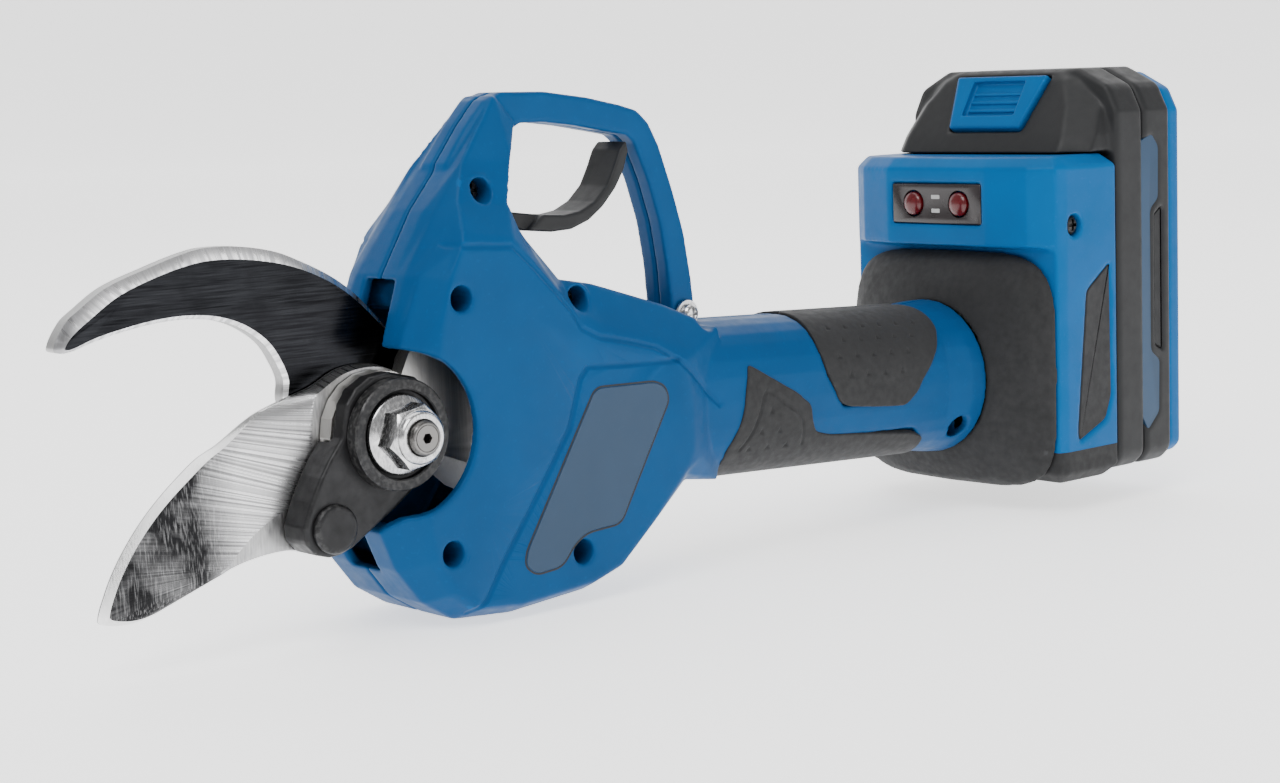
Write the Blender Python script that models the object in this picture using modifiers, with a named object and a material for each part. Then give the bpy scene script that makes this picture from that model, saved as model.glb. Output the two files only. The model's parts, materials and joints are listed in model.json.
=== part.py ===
"""Battery electric pruner: bypass blades, bevel drive, trigger guard, grip and slide-on battery.

Every outline is in millimetres in the tool's own frame: the origin is on the blade pivot at the
middle of the tool, +X runs to the battery, -Y is the nut's side and +Z is the trigger's side.
"""

import math

import bmesh
import bpy
from mathutils import Matrix, Vector

MM = 0.001
GAP = 0.3

# Where the pivot stands in the world, whose origin is under the middle of the tool.
PIVOT_AT = (-91.75, 0.0, 46.0)

# Casing.
HEAD_HALF = 20.0
WALL = 2.5
GUARD_HALF = 5.0
HANDLE_HALF_WIDTH = 18.0
HANDLE_HALF_HEIGHT = 20.0
HANDLE_SLOPE = math.radians(2.7)
COLLAR_END = 190.0
RECESS_RADIUS = 18.7

# Blades and pivot, as distances towards the nut's side.
HOOK_FACE = -0.2
HOOK_BACK = -5.0
BLADE_FACE = 4.5
BLADE_BACK = 0.3
ARM_BACK = 4.8
ARM_FACE = 13.8
PIVOT_RADIUS = 3.9
BUSH_RADIUS = 6.0
RIVET_AT = (-17.0, -19.0)

# Bevel drive: 48-tooth sector on the pivot, 12-tooth pinion on the grip's axis.
BEVEL_MODULE = 1.0
SECTOR_TEETH = 48
PINION_TEETH = 12
BEVEL_FACE = 7.0
SECTOR_RADIUS = BEVEL_MODULE * SECTOR_TEETH / 2
PINION_RADIUS = BEVEL_MODULE * PINION_TEETH / 2
CONE_LENGTH = math.hypot(SECTOR_RADIUS, PINION_RADIUS)

# Planetary stage: 12-tooth sun and planets in a 36-tooth ring.
PLANET_MODULE = 0.75
PLANET_TEETH = 12
RING_TEETH = 36
PLANET_ORBIT = PLANET_MODULE * PLANET_TEETH
STAGE_START = 51.4
STAGE_END = 57.6
MOTOR_START = 66.0
MOTOR_END = 118.0
MOTOR_RADIUS = 14.5
STATOR_TEETH = 9

# Base and battery.
BASE_HALF = 37.5
BASE_FRONT = 201.3
BASE_REAR = 225.7
BASE_TOP = 51.0
BASE_BOTTOM = -38.0
PANEL_X = 194.0
PANEL_Z = 38.3
PANEL_HALF = (16.2, 5.5)
BUTTON_Y = 8.3
PACK_FRONT = 226.3
PACK_SPLIT = 238.0
PACK_REAR = 250.0
PLATE_REAR = 256.5
CELL_RADIUS = 9.1
CELL_HALF = 32.5
CELL_PITCH = 18.8
CELL_LOW = -24.6
RELEASE_AT = (219.5, 0.0, 65.0)
RELEASE_LEAN = math.atan2(11.0, 18.0)
TERMINALS = (-14.0, 0.0, 14.0)

TRIGGER_PIVOT = (30.0, 44.0)

# Casing screws: x, z, the seat under the head, the end of the thread and the end of the boss.
CASING_SCREWS = (
    (28.5, 52.0, 6.0, 4.0, 11.4),
    (16.0, 28.8, 9.0, 9.0, 18.3),
    (10.6, -28.3, 9.0, 9.0, 18.3),
    (48.2, -33.7, 9.0, 9.0, 18.8),
    (52.8, 25.4, 9.0, 9.0, 15.2),
    (183.5, -21.0, 7.0, 7.0, 12.0),
)
BOSS_RADIUS = 4.0
GUARD_SCREW_AT = (95.5, 0.0, 17.4)

# The casing's outline in X and Z, from the top of the front strut down the front and round.
OUTLINE = (
    (38, 73.5), (16.5, 48), (8, 34), (3.6, 20.5), (1, 10), (-1, -5), (-6, -19), (-1, -31),
    (5.5, -39.5), (14, -44.8), (30, -46), (52, -44.3), (62, -41.3), (74, -31.5), (86, -22.5),
    (97, -24), (101, -4), (99, 14), (81, 21.4), (59, 28.3), (49, 30.2), (39, 42), (35, 50), (44, 66.7),
)  # fmt: skip
# The same points on the flat of the side.
SIDE_OUTLINE = (
    (17, 41), (15.5, 38), (13.5, 33), (10.5, 24), (9, 12), (8, -5), (4, -18), (6, -29),
    (11, -37), (17.5, -41.6), (30, -42.8), (51, -41.2), (60, -38.3), (71, -29), (81, -19),
    (84, -14), (84, -3), (82, 8), (72, 11.5), (58, 15.5), (50, 19.5), (43, 28), (37, 34), (31, 39),
)  # fmt: skip
# Points of OUTLINE that drop as the strut narrows, at each distance from the middle.
STRUT_TOPS = {
    9.5: {0: (25.5, 59), 1: (17.2, 48), 22: (35.3, 50.5), 23: (39.6, 58.5)},
    13.5: {0: (21, 50), 1: (18, 46), 2: (9, 34), 21: (39, 41), 22: (36, 45), 23: (35.2, 48.5)},
}

GUARD_OUTER = (
    (24, 58), (31, 67), (36, 72.3), (41, 74), (54, 73.7), (67, 71.9), (77, 69.8), (82.4, 68.3),
    (86, 65.2), (89.2, 59.4), (93.3, 48.1), (96.5, 37.5), (98.4, 26), (99.3, 17), (99, 8),
    (84, 8), (60, 14), (40, 22), (22, 30),
)  # fmt: skip
GUARD_HOLE = (
    (46.5, 66.6), (42, 64.4), (37, 58), (33, 50), (36, 41), (46, 29), (58, 25.5), (72, 20.5),
    (80, 17.5), (88, 15), (91.3, 17), (91.2, 22), (90.6, 30), (88.8, 40.6), (85.6, 50.5),
    (81.3, 60.4), (79, 62.4), (63, 65.3), (53.5, 66.5),
)  # fmt: skip

# The hook from its tip over the outer edge, round the pivot and back along the inner edge.
HOOK = (
    (-73, 25), (-70.1, 30.2), (-66.7, 32.8), (-60, 36.9), (-49.9, 40.2), (-41.6, 42.5),
    (-36.1, 43.4), (-27.7, 43.1), (-18.6, 41.3), (-11.5, 38.4), (-4.3, 34.7), (1.4, 30.6),
    (6.5, 25.5), (12.5, 18), (15.2, 9), (15.8, 0), (14.3, -8), (9, -13.5), (0, -15.8), (-9, -13),
    (-14, -6.5), (-16.5, 1), (-18.6, 8.3), (-18.3, 12.8), (-20.2, 17.4), (-22.8, 21.3),
    (-26.9, 24.5), (-31.6, 26.8), (-37.1, 28.1), (-43.9, 28.6), (-50.7, 28.2), (-57.4, 27.2),
    (-64, 25.8), (-70.2, 24.2),
)  # fmt: skip
HOOK_FACE_OUTLINE = (
    (-71, 25.2), (-69.1, 27.7), (-64.9, 30.7), (-58.1, 34.9), (-49.5, 38), (-41.5, 40), (-35.5, 40.7),
    (-27.5, 40.3), (-18.8, 38.8), (-11.8, 36.6), (-4.8, 33.2), (0.6, 29.4), (5.7, 24.6),
    (12, 17.7), (14.7, 9), (15.3, 0), (13.9, -7.8), (8.8, -13.1), (0, -15.3), (-8.8, -12.6),
    (-13.6, -6.3), (-16, 1), (-18, 8.3), (-17.6, 13), (-19.5, 17.9), (-22.3, 21.9),
    (-26.6, 25.3), (-31.4, 27.6), (-37, 29), (-43.9, 29.5), (-50.8, 29.1), (-57.5, 28.1),
    (-63.8, 26.8), (-69.6, 25),
)  # fmt: skip

# The blade from its heel along the cutting edge to the tip, back along its spine and round.
BLADE = (
    (-13.1, 10.8), (-21.3, 8.6), (-28.6, 6.1), (-37.4, 1), (-42.4, -1.3), (-47.5, -4.9),
    (-52.5, -9), (-56.8, -13.2), (-60.4, -17.5), (-63.4, -21.8), (-65.8, -26.2), (-68.2, -32.5),
    (-66.8, -33.6), (-61.6, -34.4), (-56.2, -33.6), (-52, -31.8), (-46.4, -29), (-39.3, -26.6),
    (-33.6, -25.3), (-27.8, -24.6), (-22.7, -24.6), (-17, -25.4), (-10, -22.5), (-3, -17.5), (6, -13.5),
    (13, -7), (14.8, 1), (12, 9), (5, 14), (-5, 14.2),
)  # fmt: skip
BLADE_FACE_OUTLINE = (
    (-13, 9.8), (-14.2, 8.5), (-15, 4.6), (-15.8, -4.7), (-16.9, -10.8), (-19.7, -13.6),
    (-24.9, -15.6), (-30.1, -18.3), (-34.6, -21.6), (-37.9, -24.8), (-40, -25.9), (-40.4, -26.2),
    (-40.2, -26.4), (-39.9, -26.5), (-39.6, -26.4), (-39.2, -26.2), (-38.6, -26), (-37.8, -25.7),
    (-33.6, -24.7), (-27.8, -24), (-22.7, -24), (-17, -24.8), (-10.2, -22), (-3.2, -17), (5.7, -13),
    (12.5, -6.8), (14.3, 1), (11.6, 8.7), (4.8, 13.5), (-5, 13.6),
)  # fmt: skip

ARM = (
    (0, 13.7), (-5.4, 13.1), (-9.5, 10.8), (-12, 7.7), (-13.5, 0.5), (-16.8, -3.5), (-19.5, -7.5),
    (-22.2, -12.5), (-24.5, -17.9), (-24.3, -21.3), (-21.6, -24.3), (-18.2, -25.3), (-15.4, -25.1),
    (-12.1, -24), (-6.2, -20.4), (-0.2, -16.9), (6.8, -11.9), (11.9, -6.8), (13.7, 0), (11.9, 6.8), (6.8, 11.9),
)  # fmt: skip

TRIGGER = (
    (28, 46.6), (33, 47.2), (38, 46.9), (43, 46.1), (51.7, 44.9), (58.3, 44.4), (63, 45), (67.6, 47),
    (71.6, 50.6), (74, 54.8), (76, 59), (78.2, 61.2), (78.6, 58.4), (77, 54), (74.2, 49.8), (70, 45.6),
    (65.5, 42.6), (60, 40.8), (54, 40.6), (47, 41.4), (42, 43.2), (36, 42.6), (33, 38), (31.4, 36.4),
    (28.8, 36.6), (27.4, 40),
)  # fmt: skip

tool = None
parts = None
cutters = None


def collection(name, hidden):
    made = bpy.data.collections.new(name)
    made.hide_render = hidden
    bpy.context.scene.collection.children.link(made)
    return made


def material(name, colour, roughness, metallic=0.0):
    made = bpy.data.materials.new(name)
    made.use_nodes = True
    shader = made.node_tree.nodes["Principled BSDF"]
    shader.inputs["Base Color"].default_value = (*colour, 1.0)
    shader.inputs["Roughness"].default_value = roughness
    shader.inputs["Metallic"].default_value = metallic
    made.diffuse_color = (*colour, 1.0)
    return made


def place(name, mesh, frame=None, cutter=False):
    """An object in the tool's frame; frame is in millimetres."""
    made = bpy.data.objects.new(name, mesh)
    (cutters if cutter else parts).objects.link(made)
    made.parent = tool
    frame = (frame or Matrix()).copy()
    frame.translation = frame.translation * MM
    made.matrix_local = frame
    if cutter:
        made.hide_render = True
        made.display_type = "WIRE"
    return made


def give(made, look):
    made.data.materials.clear()
    made.data.materials.append(look)
    made.data.set_sharp_from_angle(angle=math.radians(35))
    return made


def mesh_of(name, build):
    """A mesh from a function that fills a bmesh in millimetres."""
    shape = bmesh.new()
    build(shape)
    bmesh.ops.scale(shape, vec=(MM, MM, MM), verts=shape.verts)
    bmesh.ops.recalc_face_normals(shape, faces=shape.faces)
    mesh = bpy.data.meshes.new(name)
    shape.to_mesh(mesh)
    shape.free()
    mesh.shade_smooth()
    return mesh


def loft(name, rings, frame=None, cutter=False):
    """A closed solid through rings of equally many points, each closed by a flat cap."""

    def build(shape):
        rows = [[shape.verts.new(point) for point in ring] for ring in rings]
        count = len(rows[0])
        for row, following in zip(rows, rows[1:]):
            for i in range(count):
                j = (i + 1) % count
                shape.faces.new((row[i], row[j], following[j], following[i]))
        shape.faces.new(rows[0])
        shape.faces.new(rows[-1])

    return place(name, mesh_of(name, build), frame, cutter)


def box(name, low, high, frame=None, cutter=False, bevel=0.0):
    def build(shape):
        bmesh.ops.create_cube(shape, size=1.0)
        size = [b - a for a, b in zip(low, high)]
        middle = [(a + b) / 2 for a, b in zip(low, high)]
        bmesh.ops.scale(shape, vec=size, verts=shape.verts)
        bmesh.ops.translate(shape, vec=middle, verts=shape.verts)

    made = place(name, mesh_of(name, build), frame, cutter)
    if bevel:
        soften(made, bevel)
    return made


def soften(made, width, segments=2):
    rounding = made.modifiers.new("rounding", "BEVEL")
    rounding.width = width * MM
    rounding.segments = segments
    rounding.limit_method = "ANGLE"
    rounding.angle_limit = math.radians(35)


def turned(name, profile, frame=None, steps=20, cutter=False):
    """A solid of revolution about the frame's Z from (radius, height) points down its outer side."""
    mesh = bpy.data.meshes.new(name)
    points = [(radius * MM, 0.0, height * MM) for radius, height in profile]
    edges = [(i, i + 1) for i in range(len(points) - 1)]
    if profile[0][0] > 0 and profile[-1][0] > 0:
        edges.append((len(points) - 1, 0))
    mesh.from_pydata(points, edges, [])
    made = place(name, mesh, frame, cutter)
    spin = made.modifiers.new("spin", "SCREW")
    spin.steps = steps
    spin.render_steps = steps
    spin.use_merge_vertices = True
    spin.merge_threshold = 0.00001
    spin.use_smooth_shade = True
    return made


def tube_profile(outer, inner, low, high):
    return ((outer, high), (outer, low), (inner, low), (inner, high))


def rod_profile(radius, low, high):
    return ((0, high), (radius, high), (radius, low), (0, low))


def plate(name, outlines, low, high, frame=None, cutter=False):
    """Flat outlines, the first with the others as holes, from low to high along the frame's Z."""
    curve = bpy.data.curves.new(name, "CURVE")
    curve.dimensions = "2D"
    curve.fill_mode = "BOTH"
    curve.extrude = (high - low) / 2 * MM
    for outline in outlines:
        spline = curve.splines.new("POLY")
        spline.points.add(len(outline) - 1)
        spline.use_cyclic_u = True
        for point, (x, y) in zip(spline.points, outline):
            point.co = (x * MM, y * MM, 0.0, 1.0)
    drawn = bpy.data.objects.new(name, curve)
    parts.objects.link(drawn)
    bpy.context.view_layer.update()
    seen = drawn.evaluated_get(bpy.context.evaluated_depsgraph_get())
    mesh = bpy.data.meshes.new_from_object(seen)
    bpy.data.objects.remove(drawn)
    bpy.data.curves.remove(curve)
    shape = bmesh.new()
    shape.from_mesh(mesh)
    bmesh.ops.remove_doubles(shape, verts=shape.verts, dist=0.000001)
    bmesh.ops.translate(shape, vec=(0, 0, (low + high) / 2 * MM), verts=shape.verts)
    bmesh.ops.recalc_face_normals(shape, faces=shape.faces)
    shape.to_mesh(mesh)
    shape.free()
    mesh.name = name
    mesh.shade_smooth()
    return place(name, mesh, frame, cutter)


def combine(target, other, operation):
    """Booleans on the casing's many-sided lofts need the manifold solver."""
    step = target.modifiers.new(other.name, "BOOLEAN")
    step.operation = operation
    step.object = other
    if "casing" in target.name:
        step.solver = "MANIFOLD"
    return target


def cut(target, other):
    return combine(target, other, "DIFFERENCE")


def join(target, other):
    return combine(target, other, "UNION")


def circle(radius, count=32, centre=(0.0, 0.0)):
    turns = [2 * math.pi * i / count for i in range(count)]
    return [(centre[0] + radius * math.cos(t), centre[1] + radius * math.sin(t)) for t in turns]


def arc(radius, first, last, count):
    turns = [math.radians(first + (last - first) * i / (count - 1)) for i in range(count)]
    return [(radius * math.cos(t), radius * math.sin(t)) for t in turns]


def inset(outline, distance):
    """The outline with each side moved inwards; the outline runs anticlockwise."""
    moved = []
    count = len(outline)
    for i, point in enumerate(outline):
        here = Vector(point)
        before = (here - Vector(outline[i - 1])).normalized()
        after = (Vector(outline[(i + 1) % count]) - here).normalized()
        side = Vector((-before.y - after.y, before.x + after.x))
        side.normalize()
        reach = distance / max(0.5, side.dot(Vector((-before.y, before.x))))
        moved.append(tuple(here + side * reach))
    return moved


def oval(half_width, half_height, power, count=32):
    """Points of a superellipse in Y and Z."""
    ring = []
    for i in range(count):
        turn = 2 * math.pi * i / count
        c, s = math.cos(turn), math.sin(turn)
        y = half_width * math.copysign(abs(c) ** (2 / power), c)
        z = half_height * math.copysign(abs(s) ** (2 / power), s)
        ring.append((y, z))
    return ring


def axis_z(x):
    """Height of the grip's axis, which slopes down from the pivot."""
    return -math.tan(HANDLE_SLOPE) * x


def drive_frame(distance=0.0):
    """Z along the grip's axis from the pivot, X towards the nut's side."""
    along = Vector((math.cos(HANDLE_SLOPE), 0, -math.sin(HANDLE_SLOPE)))
    side = Vector((0, -1, 0))
    across = along.cross(side)
    frame = Matrix((side, across, along)).transposed().to_4x4()
    frame.translation = along * distance
    return frame


def near_frame(x=0.0, y=0.0, z=0.0):
    """Local X stays, local Y points up and local Z points to the nut's side."""
    return Matrix.Translation((x, y, z)) @ Matrix.Rotation(math.radians(90), 4, "X")


# Looks


def make_looks():
    return {
        "blue": material("casing_blue", (0.0, 0.13, 0.38), 0.5),
        "base_blue": material("base_blue", (0.0, 0.2, 0.52), 0.45),
        "rubber": material("grip_rubber", (0.035, 0.037, 0.04), 0.85),
        "black": material("black_plastic", (0.03, 0.032, 0.035), 0.6),
        "gloss": material("panel_black", (0.02, 0.02, 0.022), 0.15),
        "red": material("button_red", (0.45, 0.02, 0.03), 0.3),
        "blade": material("blade_steel", (0.55, 0.56, 0.57), 0.25, 1.0),
        "black_steel": material("black_steel", (0.03, 0.03, 0.03), 0.4, 1.0),
        "zinc": material("zinc_steel", (0.65, 0.66, 0.68), 0.3, 1.0),
        "dark_steel": material("dark_steel", (0.12, 0.12, 0.12), 0.4, 1.0),
        "gear": material("gear_steel", (0.45, 0.44, 0.42), 0.35, 1.0),
        "alloy": material("gear_case_alloy", (0.6, 0.6, 0.6), 0.45, 1.0),
        "bronze": material("bush_bronze", (0.6, 0.42, 0.2), 0.4, 1.0),
        "copper": material("terminal_brass", (0.75, 0.55, 0.3), 0.3, 1.0),
        "board": material("board_green", (0.01, 0.12, 0.05), 0.5),
        "cell": material("cell_sleeve", (0.05, 0.3, 0.28), 0.4),
    }


# Blades and pivot


def ring_at(outline, height):
    return [(x, y, height) for x, y in outline]


def make_blades(looks):
    hook = loft(
        "fixed_blade",
        [ring_at(HOOK, HOOK_BACK), ring_at(HOOK, HOOK_FACE - 1.2), ring_at(HOOK_FACE_OUTLINE, HOOK_FACE)],
        near_frame(),
    )
    bore = turned("hook_bore", rod_profile(PIVOT_RADIUS + GAP, -9, 3), near_frame(), cutter=True)
    give(cut(hook, bore), looks["blade"])
    blade = loft(
        "moving_blade",
        [ring_at(BLADE, BLADE_BACK), ring_at(BLADE, BLADE_BACK + 0.5), ring_at(BLADE_FACE_OUTLINE, BLADE_FACE)],
        near_frame(),
    )
    bush_hole = turned("bush_hole", rod_profile(BUSH_RADIUS + GAP, -2, 30), near_frame(), cutter=True)
    rivet_frame = near_frame(RIVET_AT[0], 0, RIVET_AT[1])
    rivet_hole = turned("rivet_hole", rod_profile(3.3, -2, 30), rivet_frame, cutter=True)
    cut(cut(blade, bush_hole), rivet_hole)
    give(blade, looks["blade"])
    arm = plate("blade_arm", [ARM], ARM_BACK, ARM_FACE, near_frame())
    soften(arm, 0.9, 1)
    hub_room = turned("hub_room", rod_profile(14.4, 0, 9.4), near_frame(), cutter=True)
    for tool_piece in (hub_room, bush_hole, rivet_hole):
        cut(arm, tool_piece)
    give(arm, looks["black_steel"])
    rivet_profile = ((0, 15.8), (3.6, 15.5), (5.2, 14.9), (5.5, 14.1), (3, 14.1), (3, 0.6), (0, 0.6))
    give(turned("arm_rivet", rivet_profile, rivet_frame), looks["black_steel"])


def make_pivot(looks):
    here = near_frame()
    ring_profile = (
        (12.6, 17.2), (12.6, 14.1), (6.4, 14.1), (6.4, 15.9), (10, 15.9), (10, 17.7), (12.1, 17.7),
    )  # fmt: skip
    give(turned("thrust_ring", ring_profile, here, steps=24), looks["black_steel"])
    give(turned("pivot_bush", tube_profile(BUSH_RADIUS, 4.2, 0.4, 15.8), here), looks["bronze"])
    bolt_profile = (
        (0, 25.6), (1.7, 25.6), (1.7, 26.6), (3.5, 26.6), (3.9, 26.2), (3.9, -12.7),
        (6.2, -12.7), (6.2, -16.9), (0, -16.9),
    )  # fmt: skip
    give(turned("pivot_bolt", bolt_profile, here), looks["dark_steel"])
    nut_profile = ((4.2, 25.2), (5.4, 25.2), (6, 24.4), (6, 18.2), (8.95, 17.2), (8.95, 16.2), (4.2, 16.2))
    nut = turned("pivot_nut", nut_profile, here, steps=24)
    hexagon = plate("nut_hexagon", [circle(7.5, 6), circle(4.8, 16)], 16.8, 23.6, here, cutter=True)
    give(join(nut, hexagon), looks["zinc"])


# Bevel drive


def bevel_heights(teeth, count):
    """(angle in degrees, height over the pitch cone at its outer end) round a bevel gear."""
    pitch = 360.0 / teeth
    rows = []
    for tooth in range(count):
        middle = tooth * pitch
        rows.append((middle - 0.31 * pitch, -1.2 * BEVEL_MODULE))
        rows.append((middle - 0.10 * pitch, 0.8 * BEVEL_MODULE))
        rows.append((middle + 0.10 * pitch, 0.8 * BEVEL_MODULE))
        rows.append((middle + 0.31 * pitch, -1.2 * BEVEL_MODULE))
    return rows


def cone_point(cone_angle, length, height):
    """(radius, distance from the apex along the axis) on a bevel tooth."""
    height = height * length / CONE_LENGTH
    radius = length * math.sin(cone_angle) + height * math.cos(cone_angle)
    return radius, length * math.cos(cone_angle) - height * math.sin(cone_angle)


def make_sector(looks):
    """Teeth face the middle of the tool; angles run from +X towards +Z."""
    cone = math.atan2(SECTOR_RADIUS, PINION_RADIUS)
    pitch = 360.0 / SECTOR_TEETH
    contact = -math.degrees(HANDLE_SLOPE)
    first = contact - 2.5 * pitch
    sections = []
    for angle, height in bevel_heights(SECTOR_TEETH, 12):
        turn = math.radians(first + angle)
        inner = cone_point(cone, CONE_LENGTH - BEVEL_FACE, height)
        outer = cone_point(cone, CONE_LENGTH, height)
        outline = (inner, outer, (25.4, 9.4), (12, 9.4), (12, ARM_BACK + GAP))
        sections.append([(r * math.cos(turn), r * math.sin(turn), away) for r, away in outline])
    hub = turned("bevel_sector", tube_profile(13.7, BUSH_RADIUS + GAP, ARM_BACK + 0.1, 9.1), near_frame())
    teeth = loft("sector_teeth", sections, near_frame(), cutter=True)
    back = turned("sector_back", tube_profile(40, 1, 9.1, 20), near_frame(), cutter=True)
    cut(teeth, back)
    give(join(hub, teeth), looks["gear"])


def tooth_ring(radius, module, teeth, height, start=0.0, add=0.8, ded=1.2):
    """A spur gear's outline, four points a tooth, at one height."""
    pitch = 2 * math.pi / teeth
    ring = []
    for tooth in range(teeth):
        middle = start + tooth * pitch
        for part, lift in ((-0.31, -ded), (-0.10, add), (0.10, add), (0.31, -ded)):
            reach = radius + lift * module
            turn = middle + part * pitch
            ring.append((reach * math.cos(turn), reach * math.sin(turn), height))
    return ring


def bevel_ring(length):
    cone = math.atan2(PINION_RADIUS, SECTOR_RADIUS)
    ring = []
    for angle, height in bevel_heights(PINION_TEETH, PINION_TEETH):
        radius, along = cone_point(cone, length, height)
        turn = math.radians(angle)
        ring.append((radius * math.cos(turn), radius * math.sin(turn), along))
    return ring


def round_ring(radius, height, count):
    """A circle whose points stand at the angles of a toothed ring's points."""
    return [(x, y, height) for x, y in circle(radius, count)]


def make_pinion(looks):
    count = 4 * PINION_TEETH
    rings = [
        round_ring(2.5, 16.8, count),
        bevel_ring(CONE_LENGTH - BEVEL_FACE),
        bevel_ring(CONE_LENGTH),
        round_ring(3, 25.6, count),
        round_ring(3, 47.6, count),
        round_ring(13, 48, count),
        round_ring(13, 50.9, count),
    ]
    pinion = loft("bevel_pinion", rings, drive_frame())
    for i in range(3):
        turn = 2 * math.pi * i / 3
        seat = (PLANET_ORBIT * math.cos(turn), PLANET_ORBIT * math.sin(turn), 0)
        pin_frame = drive_frame() @ Matrix.Translation(seat)
        pin = turned(f"planet_pin_{i + 1}", rod_profile(1.5, 49, 58.5), pin_frame, steps=16, cutter=True)
        join(pinion, pin)
    give(pinion, looks["gear"])
    bearing = tube_profile(8.9, 3.1, 27.4, 33.2)
    give(turned("pinion_bearing", bearing, drive_frame()), looks["zinc"])


def make_gear_case(looks):
    axis = drive_frame()
    profile = (
        (16.6, 64), (16.6, 27), (9.2, 27), (9.2, 33.5), (6.5, 33.5), (6.5, 36), (15.9, 36), (15.9, 64),
    )  # fmt: skip
    case = turned("gear_case", profile, axis, steps=24)
    lug_outline = arc(10.5, 90, 270, 17) + [(29, -12), (33, -12), (33, 12), (29, 12)]
    pivot = near_frame()
    bore = circle(PIVOT_RADIUS + GAP, 24)
    lug = plate("gear_case_lug", [lug_outline, bore], -12.4, -9.6, pivot, cutter=True)
    tube = tube_profile(8.5, PIVOT_RADIUS + GAP, -10, -5.3)
    spacer = turned("gear_case_spacer", tube, pivot, cutter=True)
    give(join(join(case, lug), spacer), looks["alloy"])


def make_planet_stage(looks):
    axis = drive_frame()
    ring_radius = PLANET_MODULE * RING_TEETH / 2
    teeth = [(x, y) for x, y, _ in tooth_ring(ring_radius, -PLANET_MODULE, RING_TEETH, 0)]
    give(plate("ring_gear", [circle(15.6, 48), teeth], 50.9 + GAP, 60, axis), looks["gear"])
    planet_radius = PLANET_MODULE * PLANET_TEETH / 2
    half_pitch = math.pi / PLANET_TEETH
    outline = [(x, y) for x, y, _ in tooth_ring(planet_radius, PLANET_MODULE, PLANET_TEETH, 0, half_pitch)]
    for i in range(3):
        turn = 2 * math.pi * i / 3
        seat = axis @ Matrix.Translation((PLANET_ORBIT * math.cos(turn), PLANET_ORBIT * math.sin(turn), 0))
        planet = plate(f"planet_gear_{i + 1}", [outline, circle(1.8, 16)], STAGE_START, STAGE_END, seat)
        give(planet, looks["gear"])


def make_motor(looks):
    axis = drive_frame()
    count = 4 * PLANET_TEETH
    sun_radius = PLANET_MODULE * PLANET_TEETH / 2
    rings = [
        tooth_ring(sun_radius, PLANET_MODULE, PLANET_TEETH, STAGE_START),
        tooth_ring(sun_radius, PLANET_MODULE, PLANET_TEETH, STAGE_END),
        round_ring(2.5, STAGE_END + 0.4, count),
        round_ring(2.5, MOTOR_START + 6, count),
        round_ring(8, MOTOR_START + 6.5, count),
        round_ring(8, MOTOR_END - 8, count),
        round_ring(2.5, MOTOR_END - 7.5, count),
        round_ring(2.5, MOTOR_END - 1, count),
    ]
    give(loft("motor_rotor", rings, axis), looks["dark_steel"])
    teeth = []
    for i in range(STATOR_TEETH):
        middle = 360.0 / STATOR_TEETH * i
        teeth += arc(8.6, middle - 13, middle + 13, 3) + arc(11.2, middle + 14.5, middle + 25.5, 2)
    stator = plate("motor_stator", [circle(12.3, 36), teeth], MOTOR_START + 8, MOTOR_END - 10, axis)
    give(stator, looks["dark_steel"])
    can_profile = (
        (MOTOR_RADIUS, MOTOR_END), (MOTOR_RADIUS, MOTOR_START), (3.2, MOTOR_START),
        (3.2, MOTOR_START + 2.5), (12.7, MOTOR_START + 2.5), (12.7, MOTOR_END),
    )  # fmt: skip
    give(turned("motor_can", can_profile, axis, steps=24), looks["zinc"])


# Casing


def head_rings(shrink=0.0):
    """The head's outlines from one side to the other, each moved in by shrink."""
    stations = [(0.0, OUTLINE), (GUARD_HALF + 0.7, OUTLINE)]
    for station, moved in STRUT_TOPS.items():
        stations.append((station, [moved.get(i, point) for i, point in enumerate(OUTLINE)]))
    edge = [((a[0] * 3 + b[0]) / 4, (a[1] * 3 + b[1]) / 4) for a, b in zip(SIDE_OUTLINE, stations[-1][1])]
    stations.append((HEAD_HALF - 1.2, edge))
    stations.append((HEAD_HALF, SIDE_OUTLINE))
    stations = [(station * (1 - shrink / HEAD_HALF), inset(outline, shrink)) for station, outline in stations]
    near = [ring_at(outline, station) for station, outline in reversed(stations)]
    far = [ring_at(outline, -station) for station, outline in stations[1:]]
    return near + far


def handle_rings(shrink=0.0):
    stations = (
        (60.0, 17.0, 17.0, 2.6), (96.0, 18.0, 20.0, 2.6), (165.0, 18.0, 20.0, 2.5),
        (178.0, 18.6, 20.2, 2.3), (185.0, 20.8, 21.0, 2.1), (COLLAR_END, 21.3, 21.3, 2.0),
    )  # fmt: skip
    rings = []
    for x, half_width, half_height, power in stations:
        if shrink:
            x = {60.0: 56.0, COLLAR_END: COLLAR_END + 5}.get(x, x)
        ring = oval(half_width - shrink, half_height - shrink, power, 28)
        rings.append([(x, y, axis_z(x) + z) for y, z in ring])
    return rings


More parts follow.
